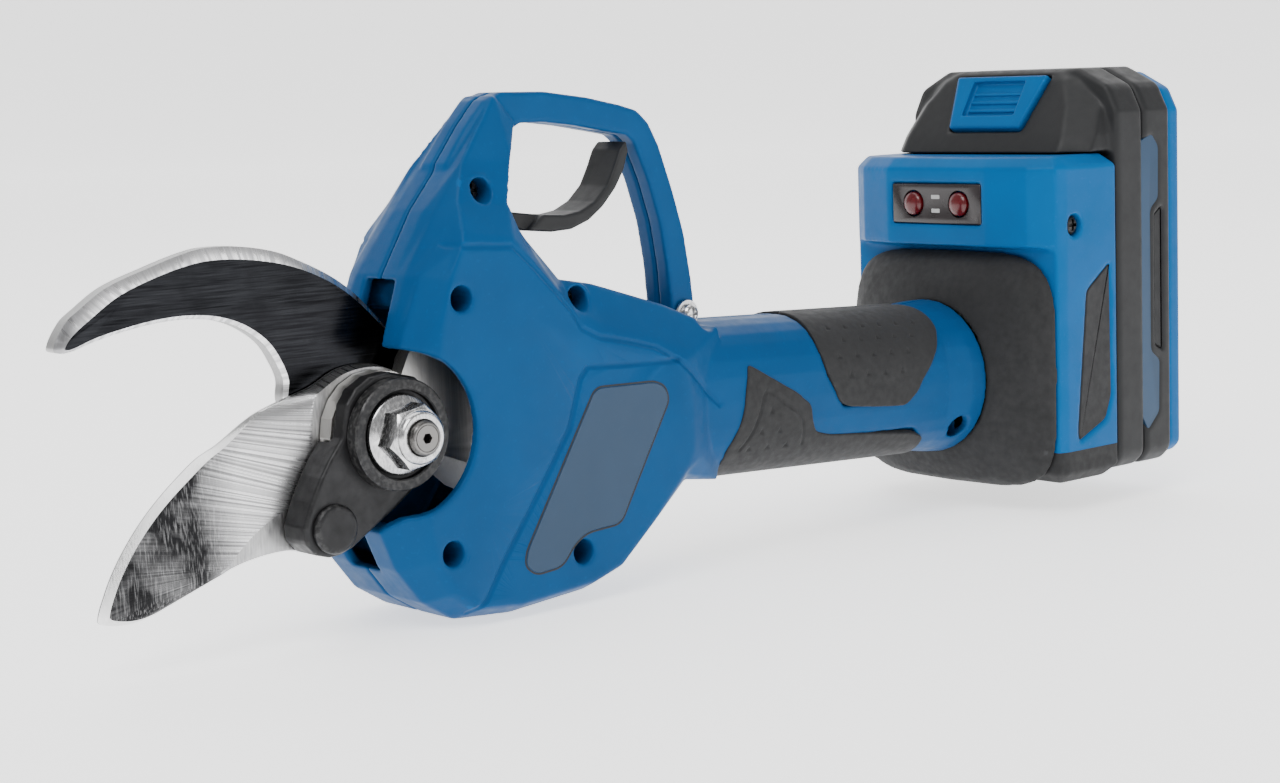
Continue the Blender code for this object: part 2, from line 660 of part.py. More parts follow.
def make_shell():
    """The whole casing before it is parted, as a helper."""
    shell = loft("casing_shell", head_rings(), near_frame(), cutter=True)
    guard = plate("guard_loop", [GUARD_OUTER, GUARD_HOLE], -GUARD_HALF, GUARD_HALF, near_frame(), cutter=True)
    soften(guard, 1.4, 1)
    join(shell, guard)
    join(shell, loft("handle_outside", handle_rings(), cutter=True))
    cut(shell, loft("head_hollow", head_rings(WALL), near_frame(), cutter=True))
    cut(shell, loft("handle_hollow", handle_rings(WALL), cutter=True))
    for i, (x, z, _, _, reach) in enumerate(CASING_SCREWS):
        boss = rod_profile(BOSS_RADIUS, -reach, reach)
        join(shell, turned(f"boss_{i + 1}", boss, near_frame(x, 0, z), steps=10, cutter=True))
    slot = box("blade_slot", (-40, -5.8, -32), (13, 5.6, 33), cutter=True)
    cut(shell, slot)
    cut(shell, box("trigger_mouth", (32, -4.2, 39), (44, 4.2, 50.6), cutter=True))
    return shell


def make_casing(looks):
    shell = make_shell()
    recess_outline = arc(RECESS_RADIUS, 90, -90, 17)
    recess_outline += [(-4, -21), (-9, -27), (-40, -27), (-40, RECESS_RADIUS)]
    recess = plate("pivot_recess", [recess_outline], 0, 30, near_frame(), cutter=True)
    far_room = turned("far_room", rod_profile(RECESS_RADIUS, -17.5, 1), near_frame(), cutter=True)
    halves = {
        "left_casing": box("left_casing", (-60, -30, -60), (COLLAR_END + 2, -GAP / 2, 90)),
        "right_casing": box("right_casing", (-60, GAP / 2, -60), (COLLAR_END + 2, 30, 90)),
    }
    for half in halves.values():
        combine(half, shell, "INTERSECT")
    cut(halves["left_casing"], recess)
    cut(halves["right_casing"], far_room)
    for i, (x, z, seat, end, _) in enumerate(CASING_SCREWS):
        here = near_frame(x, 0, z)
        profile = ((0, 30), (3, 30), (3, seat), (1.9, seat), (1.9, -end - 1), (0, -end - 1))
        hole = turned(f"screw_hole_{i + 1}", profile, here, steps=12, cutter=True)
        for half in halves.values():
            cut(half, hole)
        screw(f"casing_screw_{i + 1}", seat, end, here, looks)
    seat = ((0, 30), (3.8, 30), (3.8, GUARD_HALF + 0.2), (1.9, GUARD_HALF + 0.2), (1.9, -1), (0, -1))
    screw_seat = turned("guard_screw_hole", seat, near_frame(*GUARD_SCREW_AT), steps=16, cutter=True)
    cut(halves["left_casing"], screw_seat)
    for half in halves.values():
        give(half, looks["blue"])
    return halves


def screw(name, seat, end, frame, looks):
    seat = seat + GAP
    profile = (
        (0, seat + 0.9), (0.8, seat + 0.9), (1.3, seat + 2), (2.2, seat + 2), (2.6, seat + 1.4),
        (2.6, seat), (1.6, seat), (1.6, -end), (0, -end),
    )  # fmt: skip
    give(turned(name, profile, frame, steps=10), looks["black_steel"])


def make_guard_screw(looks):
    base = GUARD_HALF + 0.5
    profile = (
        (0, base + 2), (0.9, base + 2), (1.4, base + 2.8), (2, base + 2.8), (2.4, base + 2.2), (2.4, base + 0.8),
        (3.4, base + 0.8), (3.4, base), (1.6, base), (1.6, 0.6), (0, 0.6),
    )  # fmt: skip
    give(turned("guard_screw", profile, near_frame(*GUARD_SCREW_AT), steps=16), looks["zinc"])


# Grip pads


def pad(name, side, rows, grow, cutter):
    """A patch of the grip's skin. Each row is an angle from the top and where it starts and ends."""
    outer, inner = 0.25, -1.5 - grow
    if cutter:
        outer = 3.0
    columns = 7
    layers = []
    for lift in (outer, inner):
        ring_rows = []
        for angle, start, end in rows:
            line = []
            for i in range(columns):
                x = start - grow + (end - start + 2 * grow) * i / (columns - 1)
                turn = math.radians(90 + side * angle)
                c, s = math.cos(turn), math.sin(turn)
                y = (HANDLE_HALF_WIDTH + lift) * math.copysign(abs(c) ** 0.8, c)
                z = (HANDLE_HALF_HEIGHT + lift) * math.copysign(abs(s) ** 0.8, s)
                line.append((x, y, axis_z(x) + z))
            ring_rows.append(line)
        layers.append(ring_rows)

    def build(shape):
        grid = [[[shape.verts.new(p) for p in line] for line in layer] for layer in layers]
        last_row, last_column = len(rows) - 1, columns - 1
        for layer in grid:
            for r in range(last_row):
                for c in range(last_column):
                    shape.faces.new((layer[r][c], layer[r][c + 1], layer[r + 1][c + 1], layer[r + 1][c]))
        for r in range(last_row):
            for c in (0, last_column):
                shape.faces.new((grid[0][r][c], grid[0][r + 1][c], grid[1][r + 1][c], grid[1][r][c]))
        for c in range(last_column):
            for r in (0, last_row):
                shape.faces.new((grid[0][r][c], grid[0][r][c + 1], grid[1][r][c + 1], grid[1][r][c]))

    return place(name, mesh_of(name, build), None, cutter)


UPPER_PAD = (
    (2, 132, 176.5), (20, 131, 176.5), (40, 131, 176), (60, 131.5, 175), (80, 133, 170), (96, 138.5, 162),
)  # fmt: skip
LOWER_PAD = ((122, 103, 166), (134, 101, 170), (149, 100, 172), (164, 100, 171), (178, 100, 170))


def grown(rows, amount):
    step = math.degrees(amount / HANDLE_HALF_HEIGHT)
    rows = [list(row) for row in rows]
    rows[0][0] -= step
    rows[-1][0] += step
    return rows


def make_pads(halves, looks):
    for side, half in ((1, "right"), (-1, "left")):
        for where, rows in (("upper", UPPER_PAD), ("lower", LOWER_PAD)):
            name = f"{half}_{where}_grip"
            turn = -side
            room = pad(name + "_room", turn, grown(rows, GAP), GAP, True)
            cut(halves[half + "_casing"], room)
            give(pad(name, turn, rows, 0.0, False), looks["rubber"])


# Trigger


def make_trigger(looks):
    x, z = TRIGGER_PIVOT
    outline = [(px - x, pz - z) for px, pz in TRIGGER]
    here = near_frame(x, 0, z)
    trigger = plate("trigger", [outline, circle(1.8, 16)], -3.4, 3.4, here)
    wide_outline = [point for point in outline if point[0] > 45 - x]
    wide = plate("trigger_pad", [wide_outline], -5.6, 5.6, here, cutter=True)
    soften(wide, 0.9, 2)
    give(join(trigger, wide), looks["black"])
    give(turned("trigger_pin", rod_profile(1.5, -9, 9), here, steps=16), looks["zinc"])
    give(coil("trigger_spring", 3.0, 0.4, 4.2, 8.2, 3, here), looks["zinc"])
    give(box("trigger_switch", (18.6, -4, 34.4), (26, 4, 42), bevel=0.4), looks["black"])


def coil(name, radius, wire, low, high, turns, frame):
    curve = bpy.data.curves.new(name, "CURVE")
    curve.dimensions = "3D"
    curve.bevel_depth = wire * MM
    curve.bevel_resolution = 0
    curve.use_fill_caps = True
    spline = curve.splines.new("POLY")
    count = 9 * turns
    spline.points.add(count)
    for i, point in enumerate(spline.points):
        turn = 2 * math.pi * turns * i / count
        height = low + (high - low) * i / count
        point.co = (radius * MM * math.cos(turn), radius * MM * math.sin(turn), height * MM, 1.0)
    drawn = bpy.data.objects.new(name, curve)
    parts.objects.link(drawn)
    bpy.context.view_layer.update()
    mesh = bpy.data.meshes.new_from_object(drawn.evaluated_get(bpy.context.evaluated_depsgraph_get()))
    bpy.data.objects.remove(drawn)
    bpy.data.curves.remove(curve)
    shape = bmesh.new()
    shape.from_mesh(mesh)
    bmesh.ops.remove_doubles(shape, verts=shape.verts, dist=0.000001)
    bmesh.ops.recalc_face_normals(shape, faces=shape.faces)
    shape.to_mesh(mesh)
    shape.free()
    mesh.name = name
    return place(name, mesh, frame)


# Base


def boot_rings(shrink=0.0):
    stations = (
        (COLLAR_END + 0.4, 21.3, 21.3, -8.9, 2.0), (192.5, 26, 26, -8.4, 2.4), (195.5, 32, 30.5, -7.8, 3.2),
        (198.5, 36, 32.3, -7.4, 4.2), (BASE_FRONT - GAP, 37.3, 32.8, -7.3, 5.0),
    )  # fmt: skip
    rings = []
    for i, (x, half_width, half_height, middle, power) in enumerate(stations):
        if shrink:
            x += -1.0 if i == 0 else 1.0
        ring = oval(half_width - shrink, half_height - shrink, power, 32)
        rings.append([(x, y, middle + z) for y, z in ring])
    return rings


def make_base(looks):
    boot = loft("base_boot", boot_rings())
    cut(boot, loft("boot_hollow", boot_rings(WALL), cutter=True))
    give(boot, looks["rubber"])
    band = (
        (PANEL_X, -18), (PANEL_X, 18), (197, 30), (BASE_FRONT, BASE_HALF - 1), (BASE_FRONT + 3, BASE_HALF),
        (BASE_REAR, BASE_HALF), (BASE_REAR, -BASE_HALF), (BASE_FRONT + 3, -BASE_HALF),
        (BASE_FRONT, -BASE_HALF + 1), (197, -30),
    )  # fmt: skip
    lower = [(max(x, BASE_FRONT), y) for x, y in band]
    levels = (
        (BASE_BOTTOM, inset(lower, -3.0)), (BASE_BOTTOM + 3, lower), (26, lower), (27, band),
        (BASE_TOP - 3, band), (BASE_TOP, inset(band, -3.0)),
    )  # fmt: skip
    base = loft("base_housing", [[(x, y, z) for x, y in outline] for z, outline in levels])
    hollows = (
        ("band_hollow", (198.6, -30, 28), (211, 30, 48)),
        ("low_hollow", (203.8, -34.5, -35), (211, 34.5, 30)),
        ("wire_window", (198, -17, -27), (205, 17, 10)),
        ("rail_slot_wide", (213.5, -27, -33), (220.3, 27, 60)),
        ("rail_slot_neck", (219, -23, -33), (230, 23, 60)),
        ("panel_recess", (192, -PANEL_HALF[0] - GAP, PANEL_Z - PANEL_HALF[1] - GAP),
         (195.7, PANEL_HALF[0] + GAP, PANEL_Z + PANEL_HALF[1] + GAP)),
    )  # fmt: skip
    for name, start, end in hollows:
        cut(base, box(name, start, end, cutter=True))
    panel = box(
        "control_panel",
        (194.2, -PANEL_HALF[0], PANEL_Z - PANEL_HALF[1]),
        (195.4, PANEL_HALF[0], PANEL_Z + PANEL_HALF[1]),
        bevel=0.3,
    )
    along = Matrix.Rotation(math.radians(-90), 4, "Y")
    for name, y in (("power_button", -BUTTON_Y), ("mode_button", BUTTON_Y)):
        seat = Matrix.Translation((0, y, PANEL_Z)) @ along
        hole = turned(name + "_hole", rod_profile(3.7, -203, -190), seat, steps=24, cutter=True)
        cut(base, hole)
        cut(panel, hole)
        dome = ((0, -192.7), (1.8, -192.9), (2.8, -193.4), (3.2, -194.2), (3.2, -197.9), (0, -197.9))
        give(turned(name, dome, seat, steps=24), looks["red"])
    give(panel, looks["gloss"])
    give(box("panel_board", (199.3, -28, 29.5), (200.9, 28, 46.5)), looks["board"])
    give(box("control_board", (206, -30, -32), (207.6, 30, 25)), looks["board"])
    for name, side in (("base_screw_left", -1), ("base_screw_right", 1)):
        seat = near_frame(208, 0, 32.4)
        if side > 0:
            seat = seat @ Matrix.Rotation(math.pi, 4, "X")
        hole = ((0, 45), (3, 45), (3, 34.5), (1.9, 34.5), (1.9, 20), (0, 20))
        cut(base, turned(name + "_hole", hole, seat, steps=16, cutter=True))
        screw(name, 34.5, -31, seat, looks)
    give(base, looks["base_blue"])
    give(box("terminal_block", (213.9, -20, -32.6), (219.9, 20, -25.2), bevel=0.5), looks["black"])
    for i, y in enumerate(TERMINALS):
        blade = box(f"terminal_blade_{i + 1}", (216.5, y - 3, -24.9), (217.3, y + 3, -12))
        give(blade, looks["copper"])


# Battery


def pack_outline(margin=0.0):
    half = BASE_HALF - margin
    top = 74 - margin
    low = -37 + margin
    return (
        (-half, low + 3.5), (-half + 3.5, low), (half - 3.5, low), (half, low + 3.5), (half, 62),
        (half - 3.5, 69 - margin), (24, top), (-24, top), (-half + 3.5, 69 - margin), (-half, 62),
    )  # fmt: skip


def pack_block(name, margin, front, rear, cutter=False):
    frame = Matrix(((0, 0, 1), (1, 0, 0), (0, 1, 0))).to_4x4()
    return plate(name, [pack_outline(margin)], front, rear, frame, cutter)


def release_frame():
    """X across the tool, Y up the sloping face and Z out of it."""
    out = Vector((-math.cos(RELEASE_LEAN), 0, math.sin(RELEASE_LEAN)))
    up = Vector((math.sin(RELEASE_LEAN), 0, math.cos(RELEASE_LEAN)))
    frame = Matrix((up.cross(out), up, out)).transposed().to_4x4()
    frame.translation = Vector(RELEASE_AT)
    return frame


def make_hood():
    """The tray's sloping front above the base: each level's height, where its front is and its half width."""
    levels = (
        (51.4, 211.4, 35.5), (56, 214, 35.2), (65, 219.5, 32.5),
        (71, 223.2, 28.5), (73.2, 225, 25), (74, 227, 23),
    )  # fmt: skip
    corner = 7.0
    rings = []
    for z, front, half in levels:
        back = 229.0
        side = min(front + corner, back - 0.5)
        outline = (
            (front, -half + corner), (front, half - corner), (side, half),
            (back, half), (back, -half), (side, -half),
        )  # fmt: skip
        rings.append([(x, y, z) for x, y in outline])
    return loft("pack_hood", rings, cutter=True)


def make_pack(looks):
    tray = pack_block("pack_tray", 0, PACK_FRONT, PACK_SPLIT)
    soften(tray, 1.0, 1)
    join(tray, make_hood())
    join(tray, box("tongue_wide", (214.1, -26.4, -24), (219.7, 26.4, 50.6), cutter=True, bevel=0.5))
    join(tray, box("tongue_neck", (218, -22.4, -24), (227.5, 22.4, 52), cutter=True))
    cut(tray, pack_block("tray_hollow", WALL, 228.6, 245, cutter=True))
    for i, y in enumerate(TERMINALS):
        cut(tray, box(f"terminal_slot_{i + 1}", (215.9, y - 4, -26), (217.9, y + 4, -9), cutter=True))
    frame = release_frame()
    room = [(-13.2, -8.9), (13.2, -8.9), (17.0, 8.7), (-17.0, 8.7)]
    cut(tray, plate("release_room", [room], -6.6, 6, frame, cutter=True))
    button_outline = [(-12.8, -8.5), (12.8, -8.5), (16.6, 8.3), (-16.6, 8.3)]
    button = plate("release_button", [button_outline], -2.8, 1.2, frame)
    soften(button, 0.8, 2)
    pocket = box("finger_pocket", (-9.5, -4.5, -0.6), (9.5, 6.5, 6), frame, cutter=True, bevel=0.6)
    give(cut(button, pocket), looks["base_blue"])
    give(tray, looks["black"])
    cover = pack_block("pack_cover", 0, PACK_SPLIT + GAP, PACK_REAR)
    soften(cover, 1.0, 1)
    give(cut(cover, pack_block("cover_hollow", WALL, 230, PACK_REAR - WALL, cutter=True)), looks["black"])
    plate_frame = Matrix(((0, 0, 1), (1, 0, 0), (0, 1, 0))).to_4x4()
    back = plate("pack_back_plate", [inset(pack_outline(), 1.6)], PACK_REAR + GAP, PLATE_REAR, plate_frame)
    soften(back, 1.2, 2)
    give(back, looks["base_blue"])
    for i in range(5):
        cell_frame = near_frame(238.1, 0, CELL_LOW + CELL_PITCH * i)
        profile = (
            (0, CELL_HALF + 0.8), (2.8, CELL_HALF + 0.8), (2.8, CELL_HALF), (CELL_RADIUS, CELL_HALF),
            (CELL_RADIUS, -CELL_HALF), (0, -CELL_HALF),
        )  # fmt: skip
        give(turned(f"cell_{i + 1}", profile, cell_frame, steps=14), looks["cell"])
    give(box("battery_board", (230, -30, 61.5), (246, 30, 63.1)), looks["board"])


def main():
    global tool, parts, cutters
    for leftover in list(bpy.data.objects):
        bpy.data.objects.remove(leftover)
    parts = collection("battery_electric_pruner", False)
    cutters = collection("cutters", True)
    tool = bpy.data.objects.new("tool_frame", None)
    tool.location = [value * MM for value in PIVOT_AT]
    parts.objects.link(tool)
    looks = make_looks()
    make_blades(looks)
    make_pivot(looks)
    make_sector(looks)
    make_pinion(looks)
    make_gear_case(looks)
    make_planet_stage(looks)
    make_motor(looks)
    halves = make_casing(looks)
    make_guard_screw(looks)
    make_pads(halves, looks)
    make_trigger(looks)
    make_base(looks)
    make_pack(looks)


main()
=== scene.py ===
"""Looks of the battery electric pruner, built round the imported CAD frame.

Lengths are millimetres in the tool's own frame until a mesh is finished: the origin is on the blade
pivot at the middle of the tool, +X runs to the battery, -Y is the nut's side and +Z the trigger's.
"""

import json
import math

import bmesh
import bpy
import numpy as np
from mathutils import Matrix, Vector


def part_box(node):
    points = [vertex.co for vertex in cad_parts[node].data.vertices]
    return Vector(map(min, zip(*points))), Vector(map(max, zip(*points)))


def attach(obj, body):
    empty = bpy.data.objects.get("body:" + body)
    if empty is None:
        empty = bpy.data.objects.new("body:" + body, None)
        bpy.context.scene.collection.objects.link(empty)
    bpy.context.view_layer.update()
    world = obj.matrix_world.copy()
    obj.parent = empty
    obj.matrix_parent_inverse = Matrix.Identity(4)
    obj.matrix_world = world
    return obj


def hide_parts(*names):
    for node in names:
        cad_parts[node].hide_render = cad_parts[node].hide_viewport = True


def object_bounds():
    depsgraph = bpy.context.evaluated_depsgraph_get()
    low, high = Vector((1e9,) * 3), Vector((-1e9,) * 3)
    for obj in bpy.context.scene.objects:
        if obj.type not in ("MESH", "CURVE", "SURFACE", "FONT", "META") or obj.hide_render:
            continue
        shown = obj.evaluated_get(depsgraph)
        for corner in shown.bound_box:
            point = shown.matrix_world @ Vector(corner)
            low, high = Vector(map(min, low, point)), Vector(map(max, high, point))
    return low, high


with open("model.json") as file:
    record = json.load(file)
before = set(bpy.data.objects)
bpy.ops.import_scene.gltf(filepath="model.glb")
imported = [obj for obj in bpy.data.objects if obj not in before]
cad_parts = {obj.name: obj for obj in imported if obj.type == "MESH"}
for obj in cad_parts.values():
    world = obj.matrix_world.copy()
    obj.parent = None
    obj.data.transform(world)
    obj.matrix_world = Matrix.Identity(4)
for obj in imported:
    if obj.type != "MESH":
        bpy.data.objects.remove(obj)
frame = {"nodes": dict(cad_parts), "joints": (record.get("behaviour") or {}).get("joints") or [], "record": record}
cad_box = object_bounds()
joints = {joint["name"]: joint for joint in frame["joints"]}

MM = 0.001
PIVOT = Vector(joints["blade_swing"]["pos_m"])
TOOL = Matrix.Translation(PIVOT) @ Matrix.Scale(MM, 4)
NEAR = Matrix(((1, 0, 0, 0), (0, 0, -1, 0), (0, 1, 0, 0), (0, 0, 0, 1)))
FAR = Matrix(((1, 0, 0, 0), (0, 0, 1, 0), (0, 1, 0, 0), (0, 0, 0, 1)))
ALONG = Matrix(((0, 0, 1, 0), (1, 0, 0, 0), (0, 1, 0, 0), (0, 0, 0, 1)))
FORWARD = Matrix(((0, 0, -1, 0), (0, 1, 0, 0), (1, 0, 0, 0), (0, 0, 0, 1)))
GRIP_AXIS = Vector(joints["pinion_spin"]["axis"])
GRIP_SLOPE = GRIP_AXIS.z / GRIP_AXIS.x

# Camera, in metres: where it stands, where it looks and its lens on a 36 mm sensor.
CAMERA_AT = Vector((-0.39245, -0.44889, 0.12381))
CAMERA_TURN = math.radians(40.61)
CAMERA_PITCH = math.radians(-7.63)
CAMERA_ROLL = math.radians(-2.09)
CAMERA_LENS = 67.4

HEAD_HALF = 20.0
GRIP_HALF = (18.0, 20.0)
BASE_HALF = 37.5

# The hook's edge and the edge of its polished face, from the tip over the outside and back.
HOOK = (
    (-73, 25), (-70.1, 30.2), (-66.7, 32.8), (-60, 36.9), (-49.9, 40.2), (-41.6, 42.5), (-36.1, 43.4),
    (-27.7, 43.1), (-18.6, 41.3), (-11.5, 38.4), (-4.3, 34.7), (1.4, 30.6), (6.5, 25.5), (12.5, 18),
    (15.2, 9), (15.8, 0), (14.3, -8), (9, -13.5), (0, -15.8), (-9, -13), (-14, -6.5), (-16.5, 1),
    (-18.6, 8.3), (-18.3, 12.8), (-20.2, 17.4), (-22.8, 21.3), (-26.9, 24.5), (-31.6, 26.8),
    (-37.1, 28.1), (-43.9, 28.6), (-50.7, 28.2), (-57.4, 27.2), (-64, 25.8), (-70.2, 24.2),
)  # fmt: skip
HOOK_FACE = (
    (-71, 25.2), (-69.1, 27.7), (-64.9, 30.7), (-58.1, 34.9), (-49.5, 38), (-41.5, 40), (-35.5, 40.7),
    (-27.5, 40.3), (-18.8, 38.8), (-11.8, 36.6), (-4.8, 33.2), (0.6, 29.4), (5.7, 24.6), (12, 17.7),
    (14.7, 9), (15.3, 0), (13.9, -7.8), (8.8, -13.1), (0, -15.3), (-8.8, -12.6), (-13.6, -6.3), (-16, 1),
    (-18, 8.3), (-17.6, 13), (-19.5, 17.9), (-22.3, 21.9), (-26.6, 25.3), (-31.4, 27.6), (-37, 29),
    (-43.9, 29.5), (-50.8, 29.1), (-57.5, 28.1), (-63.8, 26.8), (-69.6, 25),
)  # fmt: skip
# The blade's edge from its heel to the tip and back along its spine, and the edge of its flat.
BLADE = (
    (-13.1, 10.8), (-21.3, 8.6), (-28.6, 6.1), (-37.4, 1), (-42.4, -1.3), (-47.5, -4.9), (-52.5, -9),
    (-56.8, -13.2), (-60.4, -17.5), (-63.4, -21.8), (-65.8, -26.2), (-68.2, -32.5), (-66.8, -33.6),
    (-61.6, -34.4), (-56.2, -33.6), (-52, -31.8), (-46.4, -29), (-39.3, -26.6), (-33.6, -25.3),
    (-27.8, -24.6), (-22.7, -24.6), (-17, -25.4), (-10, -22.5), (-3, -17.5), (6, -13.5), (13, -7),
    (14.8, 1), (12, 9), (5, 14), (-5, 14.2),
)  # fmt: skip
BLADE_FLAT = (
    (-13, 9.8), (-14.2, 8.5), (-15, 4.6), (-15.8, -4.7), (-16.9, -10.8), (-19.7, -13.6), (-24.9, -15.6),
    (-30.1, -18.3), (-34.6, -21.6), (-37.9, -24.8), (-40, -25.9), (-40.4, -26.2), (-40.2, -26.4),
    (-39.9, -26.5), (-39.6, -26.4), (-39.2, -26.2), (-38.6, -26), (-37.8, -25.7), (-33.6, -24.7),
    (-27.8, -24), (-22.7, -24), (-17, -24.8), (-10.2, -22), (-3.2, -17), (5.7, -13), (12.5, -6.8),
    (14.3, 1), (11.6, 8.7), (4.8, 13.5), (-5, 13.6),
)  # fmt: skip

# Parting grooves on the head's side, in X and Z.
HEAD_GROOVES = (
    ((15, 40.6), (21, 40.2), (31.1, 39.4), (36.7, 34.3), (42.4, 28.6), (47.4, 23.4), (50.2, 18.9),
     (55.5, 16.3), (64.9, 14.2), (72.8, 12.1), (80, 8.3), (84.9, 4.3), (89.7, 0), (94.6, -4.4)),
    ((80, 8.3), (64.6, 9), (51.3, 9.8), (48.9, 7.1), (45.2, -3.9), (37.8, -14.3), (31.4, -22.9),
     (24.2, -32.5), (19.3, -40.1), (15.6, -42.9)),
)  # fmt: skip
LABEL = (
    (53.4, 4.4), (71.6, 3.8), (74.8, 2.4), (75.9, -0.9), (62.2, -23.9), (59.6, -28.4), (49.3, -29),
    (45.3, -31.1), (41.2, -35.9), (33.6, -36.5), (30.7, -34.2), (31.2, -31),
)  # fmt: skip
BASE_INSET = ((212.8, 14.5), (223.2, 21.8), (223.6, -15.5), (221, -22), (209.2, -27), (208.6, -24.5))
BASE_SOLE = -29.0
PACK_LABEL = (
    (235.6, 53.3), (242, 55.7), (245.1, 52), (244.9, 37.3), (241.3, 34.4), (241.3, -4.9), (245.1, -7.7),
    (244.8, -22.7), (239.5, -27.6), (235.6, -21.5),
)  # fmt: skip
PACK_SLOT = ((242.6, 33), (246.6, 35.6), (246.6, -5.6), (242.6, -3.4))

# The rivet's place in the blade and its arm.
RIVET_AT = NEAR @ Matrix.Translation((-17, -19, 0))

# Millimetres round the grip for each degree, and from one dimple to the next.
DEGREE = 0.34
DIMPLE_PITCH = 6.4
# Grip pads as X and the angle down from the top of the grip.
UPPER_PAD = (
    (131.6, 0), (131.2, 20), (130.8, 40), (131, 60), (132.2, 77), (134.3, 87), (136.7, 94), (140, 97),
    (151, 99), (161, 100), (166.4, 91), (171, 80), (174.4, 67), (177, 48), (177.4, 28), (177, 0),
)  # fmt: skip
LOWER_PAD = (
    (99, 180), (98.4, 160), (97.6, 138), (98, 120), (100.3, 108), (102.2, 97), (103.7, 84), (104.6, 74),
    (105.2, 68), (107.4, 71), (111, 76.6), (116.8, 84), (121.4, 88.6), (126, 93), (126.6, 103), (128.4, 113),
    (134, 117), (144, 119), (156, 122), (166, 125), (171, 131), (172, 150), (172.4, 165), (172, 180),
)  # fmt: skip
LOBE_RIM = (
    (102.4, 122), (105, 111), (107.3, 98.7), (108.8, 90), (110.4, 86), (113.7, 88), (117.4, 92), (121, 96),
    (122.9, 101.7), (123.8, 112.5), (124.2, 122),
)  # fmt: skip


# Meshes


def smooth_closed(points, per_side):
    """A closed curve through the points, with per_side points from each to the next."""
    knots = [Vector(point) for point in points]
    count = len(knots)
    curve = []
    for i in range(count):
        a, b, c, d = (knots[(i + k) % count] for k in (-1, 0, 1, 2))
        reach = (c - b).length
        start = (c - a) * reach / max((c - b).length + (b - a).length, 1e-6)
        end = (d - b) * reach / max((d - c).length + (c - b).length, 1e-6)
        for step in range(per_side):
            t = step / per_side
            h = ((2 * t - 3) * t * t + 1, ((t - 2) * t + 1) * t, (3 - 2 * t) * t * t, (t - 1) * t * t)
            curve.append(b * h[0] + start * h[1] + c * h[2] + end * h[3])
    return curve


def rounded(points, radius, steps=5):
    """The outline with each corner cut round."""
    knots = [Vector(point) for point in points]
    count = len(knots)
    curve = []
    for i, corner in enumerate(knots):
        before, after = knots[i - 1] - corner, knots[(i + 1) % count] - corner
        reach = min(radius, before.length * 0.45, after.length * 0.45)
        first, last = corner + before.normalized() * reach, corner + after.normalized() * reach
        for step in range(steps + 1):
            t = step / steps
            curve.append(first * (1 - t) ** 2 + corner * 2 * t * (1 - t) + last * t * t)
    return curve


def mesh_from(build):
    """A mesh in millimetres from a function that fills a bmesh."""
    shape = bmesh.new()
    build(shape)
    bmesh.ops.recalc_face_normals(shape, faces=shape.faces)
    mesh = bpy.data.meshes.new("shape")
    shape.to_mesh(mesh)
    shape.free()
    return mesh


def loft(rings, looks=None, along=None):
    """A closed mesh through rings of equally many points.

    looks gives each band's material index and then the two caps'. along gives each point's distance
    round the outline, kept as an attribute.
    """
    looks = looks or [0] * (len(rings) + 1)

    def build(shape):
        mark = shape.verts.layers.float.new("along")
        rows = [[shape.verts.new(point) for point in ring] for ring in rings]
        for row in rows:
            for i, vert in enumerate(row):
                vert[mark] = along[i] if along else 0.0
        for band, (row, following) in enumerate(zip(rows, rows[1:])):
            for i in range(len(row)):
                j = (i + 1) % len(row)
                face = shape.faces.new((row[i], row[j], following[j], following[i]))
                face.material_index = looks[band]
        shape.faces.new(rows[0]).material_index = looks[-2]
        shape.faces.new(rows[-1]).material_index = looks[-1]

    return mesh_from(build)


def prism(outline, low, high, place=NEAR, chamfer=0.0):
    """An outline from low to high along the place's Z, with its rims chamfered."""
    outline = [Vector(point) for point in outline]
    shrunk = shrink(outline, chamfer)
    heights = ((low, shrunk), (low + chamfer, outline), (high - chamfer, outline), (high, shrunk))
    if not chamfer:
        heights = ((low, outline), (high, outline))
    mesh = loft([[(p.x, p.y, height) for p in ring] for height, ring in heights])
    mesh.transform(place)
    return facing_out(mesh)


def shrink(outline, distance):
    """The outline moved in by the distance, or out where it is negative."""
    area = sum(a.x * b.y - b.x * a.y for a, b in zip(outline, outline[1:] + outline[:1]))
    moved = []
    for i, here in enumerate(outline):
        step = (outline[(i + 1) % len(outline)] - outline[i - 1]).normalized()
        moved.append(here + Vector((-step.y, step.x)) * math.copysign(1.0, area) * distance)
    return moved


def facing_out(mesh):
    shape = bmesh.new()
    shape.from_mesh(mesh)
    bmesh.ops.recalc_face_normals(shape, faces=shape.faces)
    shape.to_mesh(mesh)
    shape.free()
    return mesh


def spun(profile, place=NEAR, steps=72):
    """A solid of revolution about the place's Z from (radius, height) points."""

    def build(shape):
        rows = []
        for radius, height in profile:
            if radius < 1e-6:
                rows.append([shape.verts.new((0, 0, height))])
                continue
            turns = [2 * math.pi * i / steps for i in range(steps)]
            ring = [(radius * math.cos(t), radius * math.sin(t), height) for t in turns]
            rows.append([shape.verts.new(point) for point in ring])
        pairs = list(zip(rows, rows[1:]))
        if len(rows[0]) > 1:
            pairs.append((rows[-1], rows[0]))
        for row, following in pairs:
            for i in range(steps):
                j = (i + 1) % steps
                corners = [row[i % len(row)], row[j % len(row)]]
                corners += [following[j % len(following)], following[i % len(following)]]
                corners = list(dict.fromkeys(corners))
                if len(corners) > 2:
                    shape.faces.new(corners)

    mesh = mesh_from(build)
    mesh.transform(place)
    return facing_out(mesh)


def block(low, high, place=None):
    def build(shape):
        bmesh.ops.create_cube(shape, size=1.0)
        size = Vector(high) - Vector(low)
        bmesh.ops.scale(shape, vec=size, verts=shape.verts)
        bmesh.ops.translate(shape, vec=(Vector(low) + Vector(high)) / 2, verts=shape.verts)

    mesh = mesh_from(build)
    if place:
        mesh.transform(place)
    return mesh


